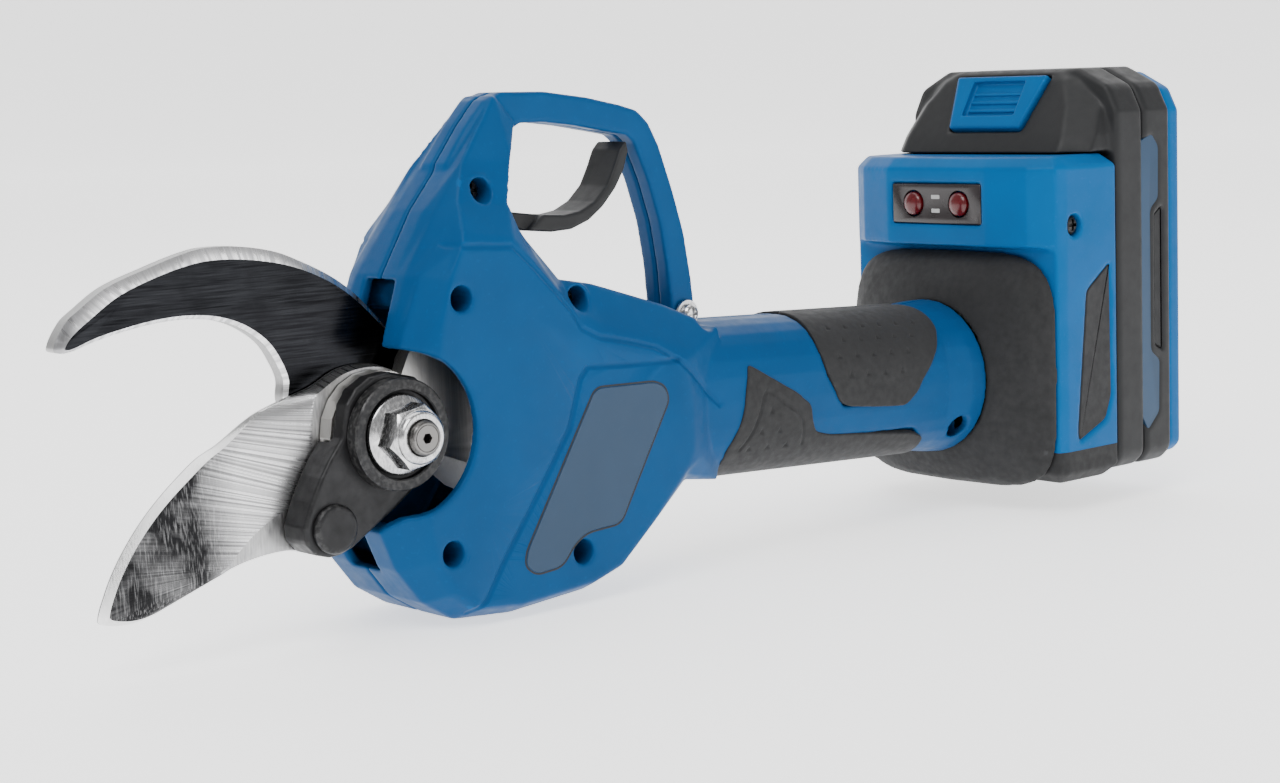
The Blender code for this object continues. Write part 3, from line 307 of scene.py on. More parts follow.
def of_node(name):
    """A copy of a CAD node's mesh, in millimetres in the tool's frame."""
    mesh = frame["nodes"][name].data.copy()
    mesh.transform(TOOL.inverted())
    shape = bmesh.new()
    shape.from_mesh(mesh)
    bmesh.ops.remove_doubles(shape, verts=shape.verts, dist=0.002)
    shape.to_mesh(mesh)
    shape.free()
    return mesh


def changed(mesh, modify):
    """The mesh after modifiers that modify puts on an object of it."""
    made = bpy.data.objects.new("helper", mesh)
    bpy.context.scene.collection.objects.link(made)
    modify(made.modifiers)
    bpy.context.view_layer.update()
    result = bpy.data.meshes.new_from_object(made.evaluated_get(bpy.context.evaluated_depsgraph_get()))
    bpy.data.objects.remove(made)
    return result


def combined(mesh, others, operation):
    """The mesh with each of the others joined to it or cut from it."""
    for other in others:
        tool = bpy.data.objects.new("cutter", other)
        bpy.context.scene.collection.objects.link(tool)

        def modify(modifiers):
            step = modifiers.new("boolean", "BOOLEAN")
            step.operation = operation
            step.solver = "MANIFOLD"
            step.object = tool

        mesh = changed(mesh, modify)
        bpy.data.objects.remove(tool)
    return mesh


def moulded(mesh, voxel, softness, keep, shape_points=None):
    """The mesh remade from small even faces, rounded as a moulding is, then thinned to the share keep.

    softness is in square millimetres, and shape_points moves the rounded mesh's points.
    """

    def remesh(modifiers):
        step = modifiers.new("remesh", "REMESH")
        step.mode = "VOXEL"
        step.voxel_size = voxel
        step = modifiers.new("smooth", "SMOOTH")
        step.factor = 0.5
        step.iterations = max(1, round(softness / voxel**2))

    def thin(modifiers):
        step = modifiers.new("thin", "DECIMATE")
        step.ratio = keep

    mesh = changed(mesh, remesh)
    if shape_points:
        points = np.empty(len(mesh.vertices) * 3, np.float32)
        mesh.vertices.foreach_get("co", points)
        points = shape_points(points.reshape(-1, 3).astype(float))
        mesh.vertices.foreach_set("co", points.astype(np.float32).ravel())
    return changed(mesh, thin)


def softened(mesh, width, segments=3):
    """The mesh with its sharp edges rounded."""

    def modify(modifiers):
        step = modifiers.new("bevel", "BEVEL")
        step.width = width
        step.segments = segments
        step.limit_method = "ANGLE"
        step.angle_limit = math.radians(35)

    return changed(mesh, modify)


def put(name, mesh, body, look, stands_for=(), smooth_angle=35.0):
    """A finished piece: the mesh with its look and body, with the CAD nodes it stands for hidden.

    look is None where the mesh already has its own materials.
    """
    mesh.transform(TOOL)
    if look is not None:
        mesh.materials.clear()
        mesh.materials.append(look)
    mesh.shade_smooth()
    if smooth_angle:
        mesh.set_sharp_from_angle(angle=math.radians(smooth_angle))
    mesh.name = name
    made = bpy.data.objects.new(name, mesh)
    bpy.context.scene.collection.objects.link(made)
    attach(made, body)
    if stands_for:
        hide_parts(*stands_for)
    return made


def distance_to_path(flat, path):
    """How far each point in the plane is from a line through the path's points."""
    nearest = np.full(len(flat), 1e9)
    for start, end in zip(np.array(path[:-1], float), np.array(path[1:], float)):
        run = end - start
        share = np.clip(((flat - start) @ run) / (run @ run), 0, 1)
        nearest = np.minimum(nearest, np.linalg.norm(flat - start - share[:, None] * run, axis=1))
    return nearest


# Materials


class Look:
    """A material being built: its nodes are added one call at a time."""

    def __init__(self, name, colour, roughness, metallic=0.0):
        self.material = bpy.data.materials.new(name)
        self.material.use_nodes = True
        self.material.diffuse_color = (*colour, 1.0)
        self.tree = self.material.node_tree
        self.shader = self.tree.nodes["Principled BSDF"]
        self.shader.inputs["Base Color"].default_value = (*colour, 1.0)
        self.shader.inputs["Roughness"].default_value = roughness
        self.shader.inputs["Metallic"].default_value = metallic
        self.place = self.add("ShaderNodeTexCoord").outputs["Object"]
        self.height = None

    def add(self, kind, **values):
        node = self.tree.nodes.new(kind)
        for key, value in values.items():
            setattr(node, key, value)
        return node

    def link(self, source, target):
        self.tree.links.new(source, target)

    def noise(self, size, detail=3.0, stretch=(1, 1, 1), source=None):
        """Noise with features of about this many millimetres, drawn out by stretch."""
        mapping = self.add("ShaderNodeMapping")
        mapping.inputs["Scale"].default_value = [1000.0 / size / s for s in stretch]
        self.link(source or self.place, mapping.inputs["Vector"])
        node = self.add("ShaderNodeTexNoise")
        node.inputs["Scale"].default_value = 1.0
        node.inputs["Detail"].default_value = detail
        self.link(mapping.outputs["Vector"], node.inputs["Vector"])
        return node.outputs["Fac"]

    def spread(self, source, low, high, start=0.3, end=0.7):
        """The source from start to end, as a number from low to high."""
        node = self.add("ShaderNodeMapRange")
        node.inputs["From Min"].default_value = start
        node.inputs["From Max"].default_value = end
        node.inputs["To Min"].default_value = low
        node.inputs["To Max"].default_value = high
        self.link(source, node.inputs["Value"])
        return node.outputs["Result"]

    def mix(self, share, first, second):
        """A colour between first and second, each a colour or a socket."""
        node = self.add("ShaderNodeMix", data_type="RGBA")
        self.link(share, node.inputs["Factor"])
        for socket, value in ((node.inputs[6], first), (node.inputs[7], second)):
            if isinstance(value, tuple):
                socket.default_value = (*value, 1.0)
            else:
                self.link(value, socket)
        return node.outputs[2]

    def colour(self, source):
        self.link(source, self.shader.inputs["Base Color"])

    def rough(self, source):
        self.link(source, self.shader.inputs["Roughness"])

    def bump(self, source, strength, distance):
        """Adds a bump, on top of any before it. distance is in millimetres."""
        node = self.add("ShaderNodeBump")
        node.inputs["Strength"].default_value = strength
        node.inputs["Distance"].default_value = distance * MM
        self.link(source, node.inputs["Height"])
        if self.height:
            self.link(self.height, node.inputs["Normal"])
        self.height = node.outputs["Normal"]
        self.link(self.height, self.shader.inputs["Normal"])

    def edges(self, start=0.52, end=0.6):
        """One at outer edges and zero on flats."""
        geometry = self.add("ShaderNodeNewGeometry")
        return self.spread(geometry.outputs["Pointiness"], 0.0, 1.0, start, end)

    def attribute(self, name):
        return self.add("ShaderNodeAttribute", attribute_name=name).outputs["Fac"]


def shade(colour, factor):
    return tuple(min(1.0, channel * factor) for channel in colour)


def plastic(name, colour, roughness=0.5, grain=0.35, depth=0.25, specular=0.3):
    """Moulded plastic: a fine spark-eroded grain, faint mottling and a painted highlight on its outer edges."""
    look = Look(name, colour, roughness)
    look.shader.inputs["Specular IOR Level"].default_value = specular
    cloud = look.noise(14.0, 4.0)
    base = look.mix(look.spread(cloud, 0.0, 1.0), shade(colour, 0.93), shade(colour, 1.06))
    fleck = look.spread(look.noise(1.1, 2.0), 0.0, 0.5, 0.62, 0.75)
    base = look.mix(fleck, base, shade(colour, 1.25))
    # painted highlight: the outer edges are lightened by pointiness
    look.colour(look.mix(look.edges(), base, shade(colour, 1.35)))
    look.rough(look.spread(look.noise(3.0, 3.0), roughness - 0.05, roughness + 0.07))
    look.bump(look.noise(grain, 2.0), 0.35, depth * 0.2)
    look.bump(look.noise(2.4, 2.0), 0.15, depth * 0.35)
    return look.material


def rubber(name, colour):
    look = Look(name, colour, 0.72)
    look.shader.inputs["Specular IOR Level"].default_value = 0.35
    look.shader.inputs["Sheen Weight"].default_value = 0.05
    look.shader.inputs["Sheen Roughness"].default_value = 0.5
    dust = look.spread(look.noise(9.0, 6.0), 0.0, 0.7, 0.45, 0.8)
    base = look.mix(dust, colour, shade(colour, 1.5))
    look.colour(look.mix(look.edges(0.53, 0.62), base, shade(colour, 2.2)))
    look.rough(look.spread(look.noise(2.0, 3.0), 0.62, 0.82))
    look.bump(look.noise(0.3, 2.0), 0.45, 0.06)
    return look.material


def gloss(name, colour, roughness=0.22, coat=0.15):
    look = Look(name, colour, roughness)
    look.shader.inputs["Coat Weight"].default_value = coat
    look.shader.inputs["Coat Roughness"].default_value = 0.06
    smear = look.noise(6.0, 5.0, (3, 1, 1))
    look.colour(look.mix(look.spread(smear, 0.0, 1.0), colour, shade(colour, 1.3)))
    look.rough(look.spread(smear, roughness, roughness + 0.14))
    look.bump(look.noise(5.0, 2.0), 0.08, 0.05)
    return look.material


def steel(name, dark, bright, roughness, grain=(0.25, (1, 1, 40)), marks=0.05, blotch=8.0):
    """Ground or polished steel with scratches drawn out along one direction and soft blotches."""
    look = Look(name, bright, roughness, 1.0)
    size, stretch = grain
    streak = look.noise(size, 3.0, stretch)
    stain = look.noise(blotch, 6.0)
    base = look.mix(look.spread(streak, 0.0, 1.0, 0.35, 0.65), dark, bright)
    base = look.mix(look.spread(stain, 0.0, 0.55, 0.45, 0.72), base, shade(dark, 0.8))
    look.colour(look.mix(look.edges(0.53, 0.62), base, shade(bright, 1.25)))
    look.rough(look.spread(streak, roughness, roughness + 0.14))
    look.bump(streak, 0.3, marks)
    return look.material


def ground_bevel(name, dark, bright, pitch, painted_reflection_from, painted_reflection_to):
    """A bevel ground across its edge: marks that follow the attribute along, and a painted reflection that darkens
    it towards the tip.
    """
    look = Look(name, bright, 0.25, 1.0)
    along = look.attribute("along")
    stretch = look.add("ShaderNodeMath", operation="MULTIPLY")
    stretch.inputs[1].default_value = 1.0 / pitch
    look.link(along, stretch.inputs[0])
    streaks = look.add("ShaderNodeTexNoise", noise_dimensions="1D")
    streaks.inputs["Scale"].default_value = 1.0
    streaks.inputs["Detail"].default_value = 5.0
    look.link(stretch.outputs[0], streaks.inputs["W"])
    fine = look.noise(0.3, 3.0, (1, 1, 40))
    split = look.add("ShaderNodeSeparateXYZ")
    look.link(look.place, split.inputs["Vector"])
    # painted reflection: the colour turns from bright to dark along X towards the tip, with a soft cloud
    tip = look.spread(split.outputs["X"], 0.0, 1.0, painted_reflection_from * MM, painted_reflection_to * MM)
    cloud = look.spread(look.noise(13.0, 5.0), -0.25, 0.25)
    total = look.add("ShaderNodeMath", operation="ADD", use_clamp=True)
    look.link(tip, total.inputs[0])
    look.link(cloud, total.inputs[1])
    base = look.mix(total.outputs[0], bright, dark)
    mark = look.spread(streaks.outputs["Fac"], 0.0, 0.6, 0.42, 0.62)
    base = look.mix(mark, base, shade(dark, 1.3))
    look.colour(look.mix(look.spread(fine, 0.0, 0.22, 0.5, 0.75), base, bright))
    look.rough(look.spread(streaks.outputs["Fac"], 0.2, 0.42))
    look.bump(streaks.outputs["Fac"], 0.5, 0.05)
    look.bump(fine, 0.25, 0.02)
    return look.material


def coated(name, colour, roughness=0.38):
    """Blackened steel whose edges are rubbed bright."""
    look = Look(name, colour, roughness, 0.6)
    base = look.mix(look.spread(look.noise(5.0, 6.0), 0.0, 1.0), shade(colour, 0.8), shade(colour, 1.5))
    worn = look.edges(0.515, 0.57)
    scuff = look.spread(look.noise(1.0, 4.0), 0.0, 0.5, 0.45, 0.65)
    share = look.add("ShaderNodeMath", operation="MULTIPLY")
    look.link(worn, share.inputs[0])
    look.link(scuff, share.inputs[1])
    look.colour(look.mix(share.outputs[0], base, (0.13, 0.13, 0.128)))
    look.rough(look.spread(look.noise(2.0, 5.0), roughness - 0.08, roughness + 0.16))
    look.bump(look.noise(0.6, 4.0), 0.3, 0.05)
    return look.material


BLUE = (0.0, 0.055, 0.17)
BASE_BLUE = (0.0, 0.09, 0.27)
BLACK = (0.012, 0.0125, 0.0135)

LOOKS = {
    "casing_blue": plastic("head_plastic", BLUE, 0.42, specular=0.12),
    "base_blue": plastic("base_plastic", BASE_BLUE, 0.4, depth=0.18, specular=0.12),
    "grip_rubber": rubber("soft_grip", (0.012, 0.0122, 0.013)),
    "black_plastic": plastic("dark_plastic", BLACK, 0.5, grain=0.3),
    "panel_black": gloss("panel_window", (0.012, 0.008, 0.009)),
    "button_red": gloss("button_dome", (0.07, 0.001, 0.003), 0.2),
    "black_steel": coated("black_finish", (0.014, 0.014, 0.015)),
    "zinc_steel": steel(
        "zinc_plate", (0.45, 0.45, 0.46), (0.72, 0.72, 0.72), 0.16, (0.5, (1, 1, 3)), 0.03, 3.0
    ),
    "dark_steel": steel(
        "dark_bolt", (0.07, 0.068, 0.065), (0.17, 0.165, 0.16), 0.3, (0.4, (1, 1, 1)), 0.03, 2.0
    ),
    "gear_steel": steel("gear_finish", (0.3, 0.29, 0.28), (0.5, 0.49, 0.47), 0.28),
    "gear_case_alloy": steel(
        "cast_alloy", (0.4, 0.4, 0.41), (0.6, 0.6, 0.61), 0.45, (1.2, (1, 1, 1)), 0.08
    ),
    "bush_bronze": steel(
        "sintered_bronze", (0.36, 0.22, 0.09), (0.56, 0.38, 0.18), 0.38, (0.5, (1, 1, 1)), 0.04
    ),
    "terminal_brass": steel("terminal_plate", (0.5, 0.34, 0.14), (0.75, 0.56, 0.28), 0.25),
    "board_green": gloss("solder_mask", (0.008, 0.07, 0.03), 0.35, 0.2),
    "cell_sleeve": gloss("cell_wrap", (0.02, 0.16, 0.15), 0.3, 0.2),
}
LABEL_LOOK = plastic("label_film", (0.012, 0.036, 0.075), 0.34, grain=0.6, depth=0.05)
MARK_LOOK = plastic("panel_mark", (0.3, 0.3, 0.3), 0.5, grain=0.6, depth=0.05)
# The hook's polished face gets a near-black colour: a painted reflection of dark surroundings.
MIRROR_LOOK = steel(
    "hook_face", (0.006, 0.006, 0.007), (0.024, 0.025, 0.028), 0.14, (0.35, (30, 1, 1)), 0.008, 7.0
)
SIDE_LOOK = steel("blade_side", (0.22, 0.22, 0.225), (0.42, 0.42, 0.42), 0.34)
FLAT_LOOK = steel("blade_flat", (0.34, 0.34, 0.345), (0.55, 0.55, 0.55), 0.3, (0.5, (1, 1, 8)), 0.02)
EDGE_LOOK = steel("blade_edge", (0.7, 0.7, 0.7), (0.95, 0.95, 0.95), 0.16)
# The bevels' dark tips are painted reflection; the last two numbers give where along X it darkens.
HOOK_BEVEL_LOOK = ground_bevel(
    "hook_bevel", (0.25, 0.25, 0.26), (0.9, 0.9, 0.91), 1.4, -152.0, -166.0
)
BLADE_BEVEL_LOOK = ground_bevel(
    "blade_bevel", (0.016, 0.016, 0.017), (0.8, 0.8, 0.81), 0.8, -124.0, -137.0
)


# Pieces


def dress_inner_nodes():
    """Every CAD node gets its slot's material; most outer ones are then replaced by finer pieces."""
    for part in frame["record"]["subparts"]:
        node = frame["nodes"][part["node"]]
        slot = part["material_slot"]
        look = LOOKS.get(slot, SIDE_LOOK)
        node.data.materials.clear()
        node.data.materials.append(look)
        node.data.shade_smooth()
        node.data.set_sharp_from_angle(angle=math.radians(35))


def lengths(outline):
    """How far each point is along the outline."""
    total, run = 0.0, []
    for i, point in enumerate(outline):
        run.append(total)
        total += (outline[(i + 1) % len(outline)] - point).length
    return run


def rings_at(levels):
    return [[(p.x, p.y, height) for p in outline] for outline, height in levels]


def make_blades():
    hook, face = smooth_closed(HOOK, 7), smooth_closed(HOOK_FACE, 7)
    levels = ((shrink(hook, 0.3), -5.0), (hook, -4.8), (hook, -1.5), (face, -0.2))
    mesh = loft(rings_at(levels), [0, 0, 1, 0, 2], lengths(hook))
    for look in (SIDE_LOOK, HOOK_BEVEL_LOOK, MIRROR_LOOK):
        mesh.materials.append(look)
    mesh.transform(NEAR)
    bore = spun(((0, 2), (4.2, 2), (4.2, -8), (0, -8)))
    mesh = combined(facing_out(mesh), [bore], "DIFFERENCE")
    put("hook_blade", mesh, "tool_body", None, ["fixed_blade"])

    edge, flat = smooth_closed(BLADE, 7), smooth_closed(BLADE_FLAT, 7)

    def between(share):
        return [a.lerp(b, share) for a, b in zip(edge, flat)]

    levels = ((edge, 0.3), (edge, 0.7), (between(0.09), 1.25), (between(0.95), 4.35), (flat, 4.5))
    mesh = loft(rings_at(levels), [0, 1, 2, 2, 0, 3], lengths(edge))
    for look in (SIDE_LOOK, EDGE_LOOK, BLADE_BEVEL_LOOK, FLAT_LOOK):
        mesh.materials.append(look)
    mesh.transform(NEAR)
    holes = [
        spun(((0, 30), (6.3, 30), (6.3, -2), (0, -2))),
        spun(((0, 30), (3.3, 30), (3.3, -2), (0, -2)), RIVET_AT),
    ]
    mesh = combined(facing_out(mesh), holes, "DIFFERENCE")
    put("bypass_blade", mesh, "cutting_blade", None, ["moving_blade"])


def six_sided(radius, turned_by):
    turns = [math.radians(60 * i + turned_by) for i in range(6)]
    return [(radius * math.cos(t), radius * math.sin(t)) for t in turns]


def make_pivot_pieces():
    black, zinc = LOOKS["black_steel"], LOOKS["zinc_steel"]
    arm = moulded(of_node("blade_arm"), 0.3, 0.36, 0.3)
    put("carrier_arm", arm, "cutting_blade", black, ["blade_arm"], 60)
    ring = (
        (12.6, 17.2), (12.6, 14.1), (6.4, 14.1), (6.4, 15.9), (9.6, 15.9), (9.9, 16.1), (10, 16.5),
        (10, 17.4), (10.3, 17.7), (11.9, 17.7), (12.3, 17.6),
    )  # fmt: skip
    put("pivot_ring", spun(ring), "tool_body", black, ["thrust_ring"])
    rivet = (
        (0, 15.6), (3.9, 15.6), (4.8, 15.5), (5.2, 15.2), (5.5, 14.7), (5.5, 14.1), (3, 14.1),
        (3, 0.6), (0, 0.6),
    )  # fmt: skip
    put("carrier_rivet", spun(rivet, RIVET_AT), "cutting_blade", black, ["arm_rivet"])

    flange = (
        (4.2, 25.2), (5.3, 25.2), (5.7, 24.9), (6, 24.2), (6, 20), (6.3, 18.6), (7.4, 18), (8.6, 17.5),
        (8.9, 17.2), (8.95, 16.6), (8.8, 16.2), (4.2, 16.2),
    )  # fmt: skip
    hexagon = prism(six_sided(7.5, 12), 16.6, 23.9)
    crown = spun(((0, 24.2), (5.9, 24.1), (7.6, 22.6), (7.6, 16), (0, 16)))
    hexagon = combined(hexagon, [crown], "INTERSECT")
    hexagon = combined(hexagon, [spun(((0, 30), (4.4, 30), (4.4, 10), (0, 10)))], "DIFFERENCE")
    nut = combined(spun(flange), [hexagon], "UNION")
    put("flange_nut", softened(nut, 0.18, 2), "tool_body", zinc, ["pivot_nut"], 40)

    shank = (
        (0, 26.6), (3.3, 26.6), (3.6, 26.4), (3.9, 26), (3.9, -12.7), (6.2, -12.7), (6.2, -16.4),
        (5.8, -16.9), (0, -16.9),
    )  # fmt: skip
    groove = spun(((3.05, 40), (3.05, 26.35), (2.85, 26.35), (2.85, 40)))
    bolt = combined(spun(shank), [prism(six_sided(1.25, 0), 24.2, 30), groove], "DIFFERENCE")
    put("pivot_screw", bolt, "tool_body", LOOKS["dark_steel"], ["pivot_bolt"], 40)


def screw_mesh(place, seat, end, head, washer=0.0):
    """A pan-head screw with a cross recess."""
    low = seat + washer
    profile = [
        (0, low + 2), (head * 0.45, low + 1.98), (head * 0.75, low + 1.7), (head * 0.95, low + 1.1),
        (head, low + 0.6), (head, low),
    ]  # fmt: skip
    if washer:
        profile += [(head * 1.4, low), (head * 1.42, low - 0.15), (head * 1.42, seat)]
    profile += [(1.55, seat), (1.55, -end), (0, -end)]
    arm, slim = head * 0.62, head * 0.17
    cross = [
        block((-arm, -slim, low + 0.9), (arm, slim, low + 4), place),
        block((-slim, -arm, low + 0.9), (slim, arm, low + 4), place),
    ]
    return combined(spun(profile, place, 40), cross, "DIFFERENCE")


def make_screws():
    for part in frame["record"]["subparts"]:
        node = part["node"]
        if not node.startswith(("casing_screw", "base_screw", "guard_screw")):
            continue
        low, high = (TOOL.inverted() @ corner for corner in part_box(node))
        middle = (low + high) / 2
        far = node == "base_screw_right"
        place = Matrix.Translation((middle.x, 0, middle.z)) @ (FAR if far else NEAR)
        top = high.y if far else -low.y
        bottom = low.y if far else -high.y
        if node == "guard_screw":
            mesh = screw_mesh(place, top - 2.8, -bottom, 2.4, 0.8)
            put("guard_foot_screw", mesh, "tool_body", LOOKS["zinc_steel"], [node])
            continue
        mesh = screw_mesh(place, top - 2.0, -bottom, 2.6)
        put(node + "_cross", mesh, "tool_body", LOOKS["black_steel"], [node])


def grooved(side):
    """A function that presses the parting grooves into the outer face of the half on this side."""

    def shape_points(points):
        outer = points[:, 1] * side > 7
        for path in HEAD_GROOVES:
            away = distance_to_path(points[:, [0, 2]], path)
            depth = 0.55 * np.clip(1 - (away / 0.8) ** 2, 0, 1)
            points[:, 1] -= side * np.where(outer, depth, 0)
        return points

    return shape_points


def make_casing():
    for node, side in (("left_casing", -1), ("right_casing", 1)):
        voxel = 0.42
        mesh = moulded(of_node(node), voxel, 2.6, 0.22, grooved(side))
        name = "near_shell" if side < 0 else "far_shell"
        put(name, mesh, "tool_body", LOOKS["casing_blue"], [node], None)


def make_head_label():
    outline = rounded(LABEL, 2.2)
    for name, place in (("near", NEAR), ("far", FAR)):
        mesh = prism(outline, HEAD_HALF - 0.8, HEAD_HALF + 0.28, place, 0.12)
        put(name + "_head_label", mesh, "tool_body", LABEL_LOOK)
        rim = prism(shrink(outline, -0.55), HEAD_HALF - 0.8, HEAD_HALF + 0.06, place)
        hole = prism(shrink(outline, -0.12), HEAD_HALF - 3, HEAD_HALF + 3, place)
        rim = combined(rim, [hole], "DIFFERENCE")
        put(name + "_head_label_rim", rim, "tool_body", LOOKS["black_plastic"])


def grip_point(x, angle, side, lift):
    """A point on the grip's skin, this many degrees down from the top and lifted off it."""
    turn = math.radians(90 - side * angle)
    c, s = math.cos(turn), math.sin(turn)
    flare = max(0.0, x - 165) * 0.045
    y = (GRIP_HALF[0] + flare + lift) * math.copysign(abs(c) ** 0.8, c)
    z = (GRIP_HALF[1] + lift) * math.copysign(abs(s) ** 0.8, s)
    return x, y, GRIP_SLOPE * x + z


def dimpled(points, area, top):
    """Small three-sided dimples in rows on the top of a flat patch."""
    turns = (math.pi / 2, math.pi * 7 / 6, math.pi * 11 / 6)
    corners = np.array([(math.cos(t), math.sin(t)) for t in turns])
    for row in range(30):
        for column in range(12, 30):
            centre = np.array(((column + 0.5 * (row % 2)) * DIMPLE_PITCH, row * DIMPLE_PITCH * 0.72))
            if not inside(centre, area):
                continue
            reach = np.max((points[:, :2] - centre) @ corners.T, axis=1)
            depth = 0.32 * np.clip((0.62 - reach) / 0.35, 0, 1)
            points[:, 2] -= np.where(points[:, 2] > top - 0.4, depth, 0)
    return points


def inside(point, area):
    """Whether the point is inside the outline."""
    found = False
    for (x0, y0), (x1, y1) in zip(area, area[1:] + area[:1]):
        if (y0 > point[1]) != (y1 > point[1]) and point[0] < (x1 - x0) * (point[1] - y0) / (y1 - y0) + x0:
            found = not found
    return found


def make_pad(name, outline, dimple_area, side, node, rim=None):
    """A grip pad, made flat as X and distance round the grip, then bent onto it."""
    flat = [(x, angle * DEGREE) for x, angle in outline]
    area = [(x, angle * DEGREE) for x, angle in dimple_area]
    top = 0.42

    def shape_points(points):
        if rim:
            path = [(x, angle * DEGREE) for x, angle in rim]
            away = distance_to_path(points[:, :2], path)
            groove = 0.32 * np.clip(1 - (away / 0.55) ** 2, 0, 1)
            points[:, 2] -= np.where(points[:, 2] > top - 0.4, groove, 0)
        return dimpled(points, area, top)

    mesh = prism(rounded(flat, 1.6), -1.2, top, Matrix())
    mesh = moulded(mesh, 0.27, 0.15, 0.35, shape_points)
    for vert in mesh.vertices:
        x, run, lift = vert.co
        vert.co = grip_point(x, run / DEGREE, side, lift)
    put(name, facing_out(mesh), "tool_body", LOOKS["grip_rubber"], [node], None)


def make_pads():
    for side, half in ((-1, "left"), (1, "right")):
        spots = ((134, 34), (135, 66), (140, 92), (160, 93), (168, 78), (171, 34))
        make_pad(half + "_top_pad", UPPER_PAD, spots, side, half + "_upper_grip")
        spots = ((104, 132), (109.4, 98), (112, 93), (120, 103), (122, 132))
        make_pad(half + "_palm_pad", LOWER_PAD, spots, side, half + "_lower_grip", LOBE_RIM)


def make_trigger():
    mesh = moulded(of_node("trigger"), 0.32, 0.8, 0.35)
    put("finger_lever", mesh, "trigger", LOOKS["black_plastic"], ["trigger"], None)


def side_cutters(outline, depth, half=BASE_HALF):
    return [prism(outline, half - depth, half + 5, place) for place in (NEAR, FAR)]


def soled(mesh, height):
    """The mesh with a clean line round it at this height, and its second material below."""
    shape = bmesh.new()
    shape.from_mesh(mesh)
    everything = shape.verts[:] + shape.edges[:] + shape.faces[:]
    bmesh.ops.bisect_plane(shape, geom=everything, plane_co=(0, 0, height), plane_no=(0, 0, 1), dist=0.0001)
    for face in shape.faces:
        face.material_index = int(face.calc_center_median().z < height)
    shape.to_mesh(mesh)
    shape.free()
    return mesh


def make_base():
    voxel = 0.5
    inset = rounded(BASE_INSET, 1.5)
    mesh = combined(of_node("base_housing"), side_cutters(inset, 1.0), "DIFFERENCE")
    shell = moulded(mesh, voxel, 4.0, 0.3)
    shell.materials.clear()
    shell.materials.append(LOOKS["base_blue"])
    shell.materials.append(LOOKS["grip_rubber"])
    shell = soled(shell, BASE_SOLE)
    put("base_shell", shell, "tool_body", None, ["base_housing"], None)
    for name, place in (("near", NEAR), ("far", FAR)):
        plate = prism(shrink(inset, 0.35), BASE_HALF - 1.6, BASE_HALF - 0.25, place, 0.4)
        put(name + "_base_inset", plate, "tool_body", LOOKS["grip_rubber"])
    boot = moulded(of_node("base_boot"), voxel, 6.0, 0.3)
    put("base_bell", boot, "tool_body", LOOKS["grip_rubber"], ["base_boot"], None)


def make_panel():
    low, high = (TOOL.inverted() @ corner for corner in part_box("control_panel"))
    front = low.x
    panel = softened(of_node("control_panel"), 0.35, 3)
    put("panel_window", panel, "tool_body", LOOKS["panel_black"], ["control_panel"], 30)
    for i, z in enumerate((1.9, -1.9)):
        middle = (low.z + high.z) / 2 + z
        bottom, top = middle - 0.55, middle + 0.55
        outline = rounded([(-1.5, bottom), (1.5, bottom), (1.5, top), (-1.5, top)], 0.3)
        mesh = prism(outline, front - 0.12, front + 0.3, ALONG)
        put(f"panel_mark_{i + 1}", mesh, "tool_body", MARK_LOOK)
    for node in ("power_button", "mode_button"):
        low, high = (TOOL.inverted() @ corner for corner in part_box(node))
        middle = (low + high) / 2
        back = Matrix.Translation((0, middle.y, middle.z)) @ FORWARD
        top, foot = -low.x, -high.x
        turns = [t * math.pi / 20 for t in range(11)]
        arc = [(3.2 * math.sin(t), top - 1.5 + 1.5 * math.cos(t)) for t in turns]
        mesh = spun(arc + [(3.2, foot), (0, foot)], back)
        put(node + "_dome", mesh, node, LOOKS["button_red"], [node], 60)


def release_place():
    lean = math.atan2(11.0, 18.0)
    out = Vector((-math.cos(lean), 0, math.sin(lean)))
    up = Vector((math.sin(lean), 0, math.cos(lean)))
    place = Matrix((up.cross(out), up, out)).transposed().to_4x4()
    place.translation = Vector((219.5, 0, 65))
    return place


def make_pack():
    voxel = 0.5
    black, blue = LOOKS["black_plastic"], LOOKS["base_blue"]
    tray = moulded(of_node("pack_tray"), voxel, 4.0, 0.3)
    put("pack_front_shell", tray, "battery", black, ["pack_tray"], None)
    label, slot = rounded(PACK_LABEL, 1.4), rounded(PACK_SLOT, 0.8)
    cutters = side_cutters(label, 0.7) + side_cutters(slot, 1.4)
    cover = combined(of_node("pack_cover"), cutters, "DIFFERENCE")
    cover = moulded(cover, voxel, 3.0, 0.3)
    put("pack_rear_shell", cover, "battery", black, ["pack_cover"], None)
    for name, place in (("near", NEAR), ("far", FAR)):
        film = prism(shrink(label, 0.25), BASE_HALF - 1.4, BASE_HALF - 0.3, place, 0.1)
        put(name + "_pack_label", film, "battery", LABEL_LOOK)
        rib = prism(shrink(slot, 0.4), BASE_HALF - 2.4, BASE_HALF - 0.7, place, 0.3)
        put(name + "_pack_rib", rib, "battery", LOOKS["black_plastic"])
    back = moulded(of_node("pack_back_plate"), voxel, 3.0, 0.3)
    put("pack_rear_plate", back, "battery", blue, ["pack_back_plate"], None)
    place = release_place()
    ribs = [block((-8.6, y - 0.45, -1.4), (8.6, y + 0.45, 0.2), place) for y in (-2.4, 0.2, 2.8)]
    button = combined(of_node("release_button"), ribs, "UNION")
    button = moulded(button, 0.28, 0.3, 0.35)
    put("release_key", button, "release_button", blue, ["release_button"], None)


# Stage


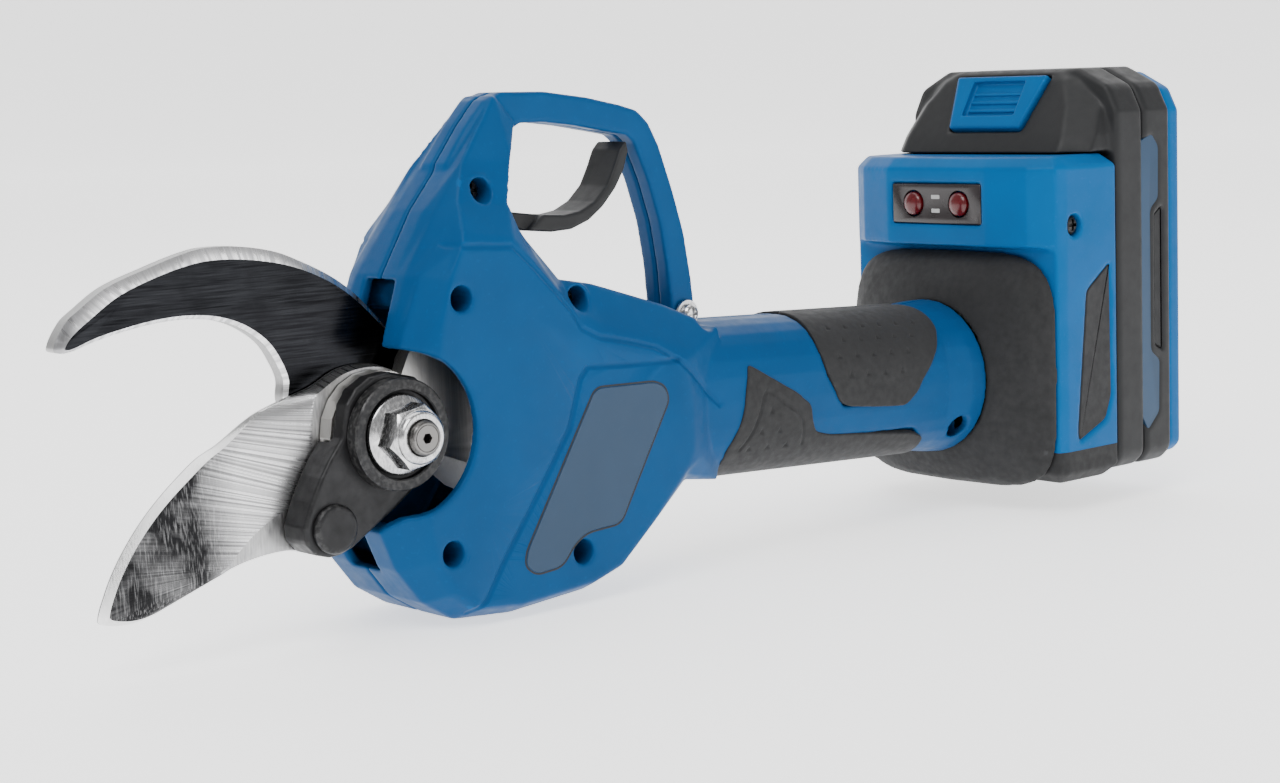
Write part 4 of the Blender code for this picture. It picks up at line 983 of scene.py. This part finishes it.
def make_stage():
    """A pale floor that curves up behind into a wall."""
    floor_z = cad_box[0].z - 0.0005
    turns = [math.pi / 2 * i / 12 for i in range(1, 13)]
    curve = [(3.0 + 1.5 * math.sin(t), 1.5 - 1.5 * math.cos(t)) for t in turns]
    profile = [(-6.0, 0.0), (3.0, 0.0)] + curve + [(4.5, 6.0)]
    ahead = Vector((math.sin(CAMERA_TURN), math.cos(CAMERA_TURN), 0))
    side = Vector((ahead.y, -ahead.x, 0))

    def build(shape):
        rows = []
        for run, height in profile:
            middle = ahead * run + Vector((0, 0, floor_z + height))
            rows.append([shape.verts.new(middle + side * w) for w in (-8.0, 8.0)])
        for row, following in zip(rows, rows[1:]):
            shape.faces.new((row[0], row[1], following[1], following[0]))

    mesh = mesh_from(build)
    mesh.shade_smooth()
    look = Look("studio_floor", (0.86, 0.86, 0.86), 0.6)
    cloud = look.noise(900.0, 2.0)
    look.colour(look.mix(cloud, (0.85, 0.85, 0.85), (0.88, 0.88, 0.88)))
    look.shader.inputs["Emission Color"].default_value = (1, 1, 1, 1)
    look.shader.inputs["Emission Strength"].default_value = 1.3
    mesh.materials.append(look.material)
    floor = bpy.data.objects.new("studio_floor", mesh)
    bpy.context.scene.collection.objects.link(floor)


def make_light(name, at, target, size, power):
    data = bpy.data.lights.new(name, "AREA")
    data.shape = "RECTANGLE"
    data.size, data.size_y = size
    data.energy = power
    light = bpy.data.objects.new(name, data)
    light.location = at
    light.rotation_mode = "QUATERNION"
    light.rotation_quaternion = (Vector(target) - Vector(at)).to_track_quat("-Z", "Y")
    bpy.context.scene.collection.objects.link(light)


def make_lights():
    world = bpy.data.worlds.new("studio")
    world.use_nodes = True
    background = world.node_tree.nodes["Background"]
    background.inputs["Color"].default_value = (1.0, 1.0, 1.0, 1.0)
    background.inputs["Strength"].default_value = 0.42
    bpy.context.scene.world = world
    middle = (cad_box[0] + cad_box[1]) / 2
    make_light("key", (-1.0, -0.7, 1.5), middle, (1.0, 1.0), 24.0)
    make_light("fill", (0.6, -1.5, 0.5), middle, (1.2, 0.8), 7.0)
    make_light("top", (0.1, 0.3, 1.6), middle, (1.6, 1.2), 12.0)


def make_camera():
    turn, pitch, roll = CAMERA_TURN, CAMERA_PITCH, CAMERA_ROLL
    ahead = Vector((math.sin(turn) * math.cos(pitch), math.cos(turn) * math.cos(pitch), math.sin(pitch)))
    right = Vector((math.cos(turn), -math.sin(turn), 0))
    up = right.cross(ahead)
    across = right * math.cos(roll) + up * math.sin(roll)
    above = up * math.cos(roll) - right * math.sin(roll)
    data = bpy.data.cameras.new("camera")
    data.lens = CAMERA_LENS
    data.sensor_width = 36.0
    data.clip_start = 0.02
    camera = bpy.data.objects.new("camera", data)
    camera.rotation_mode = "QUATERNION"
    camera.rotation_quaternion = Matrix((across, above, -ahead)).transposed().to_quaternion()
    camera.location = CAMERA_AT
    bpy.context.scene.collection.objects.link(camera)
    bpy.context.scene.camera = camera


make_camera()
make_lights()
make_stage()
dress_inner_nodes()
make_blades()
make_pivot_pieces()
make_screws()
make_casing()
make_head_label()
make_pads()
make_trigger()
make_base()
make_panel()
make_pack()
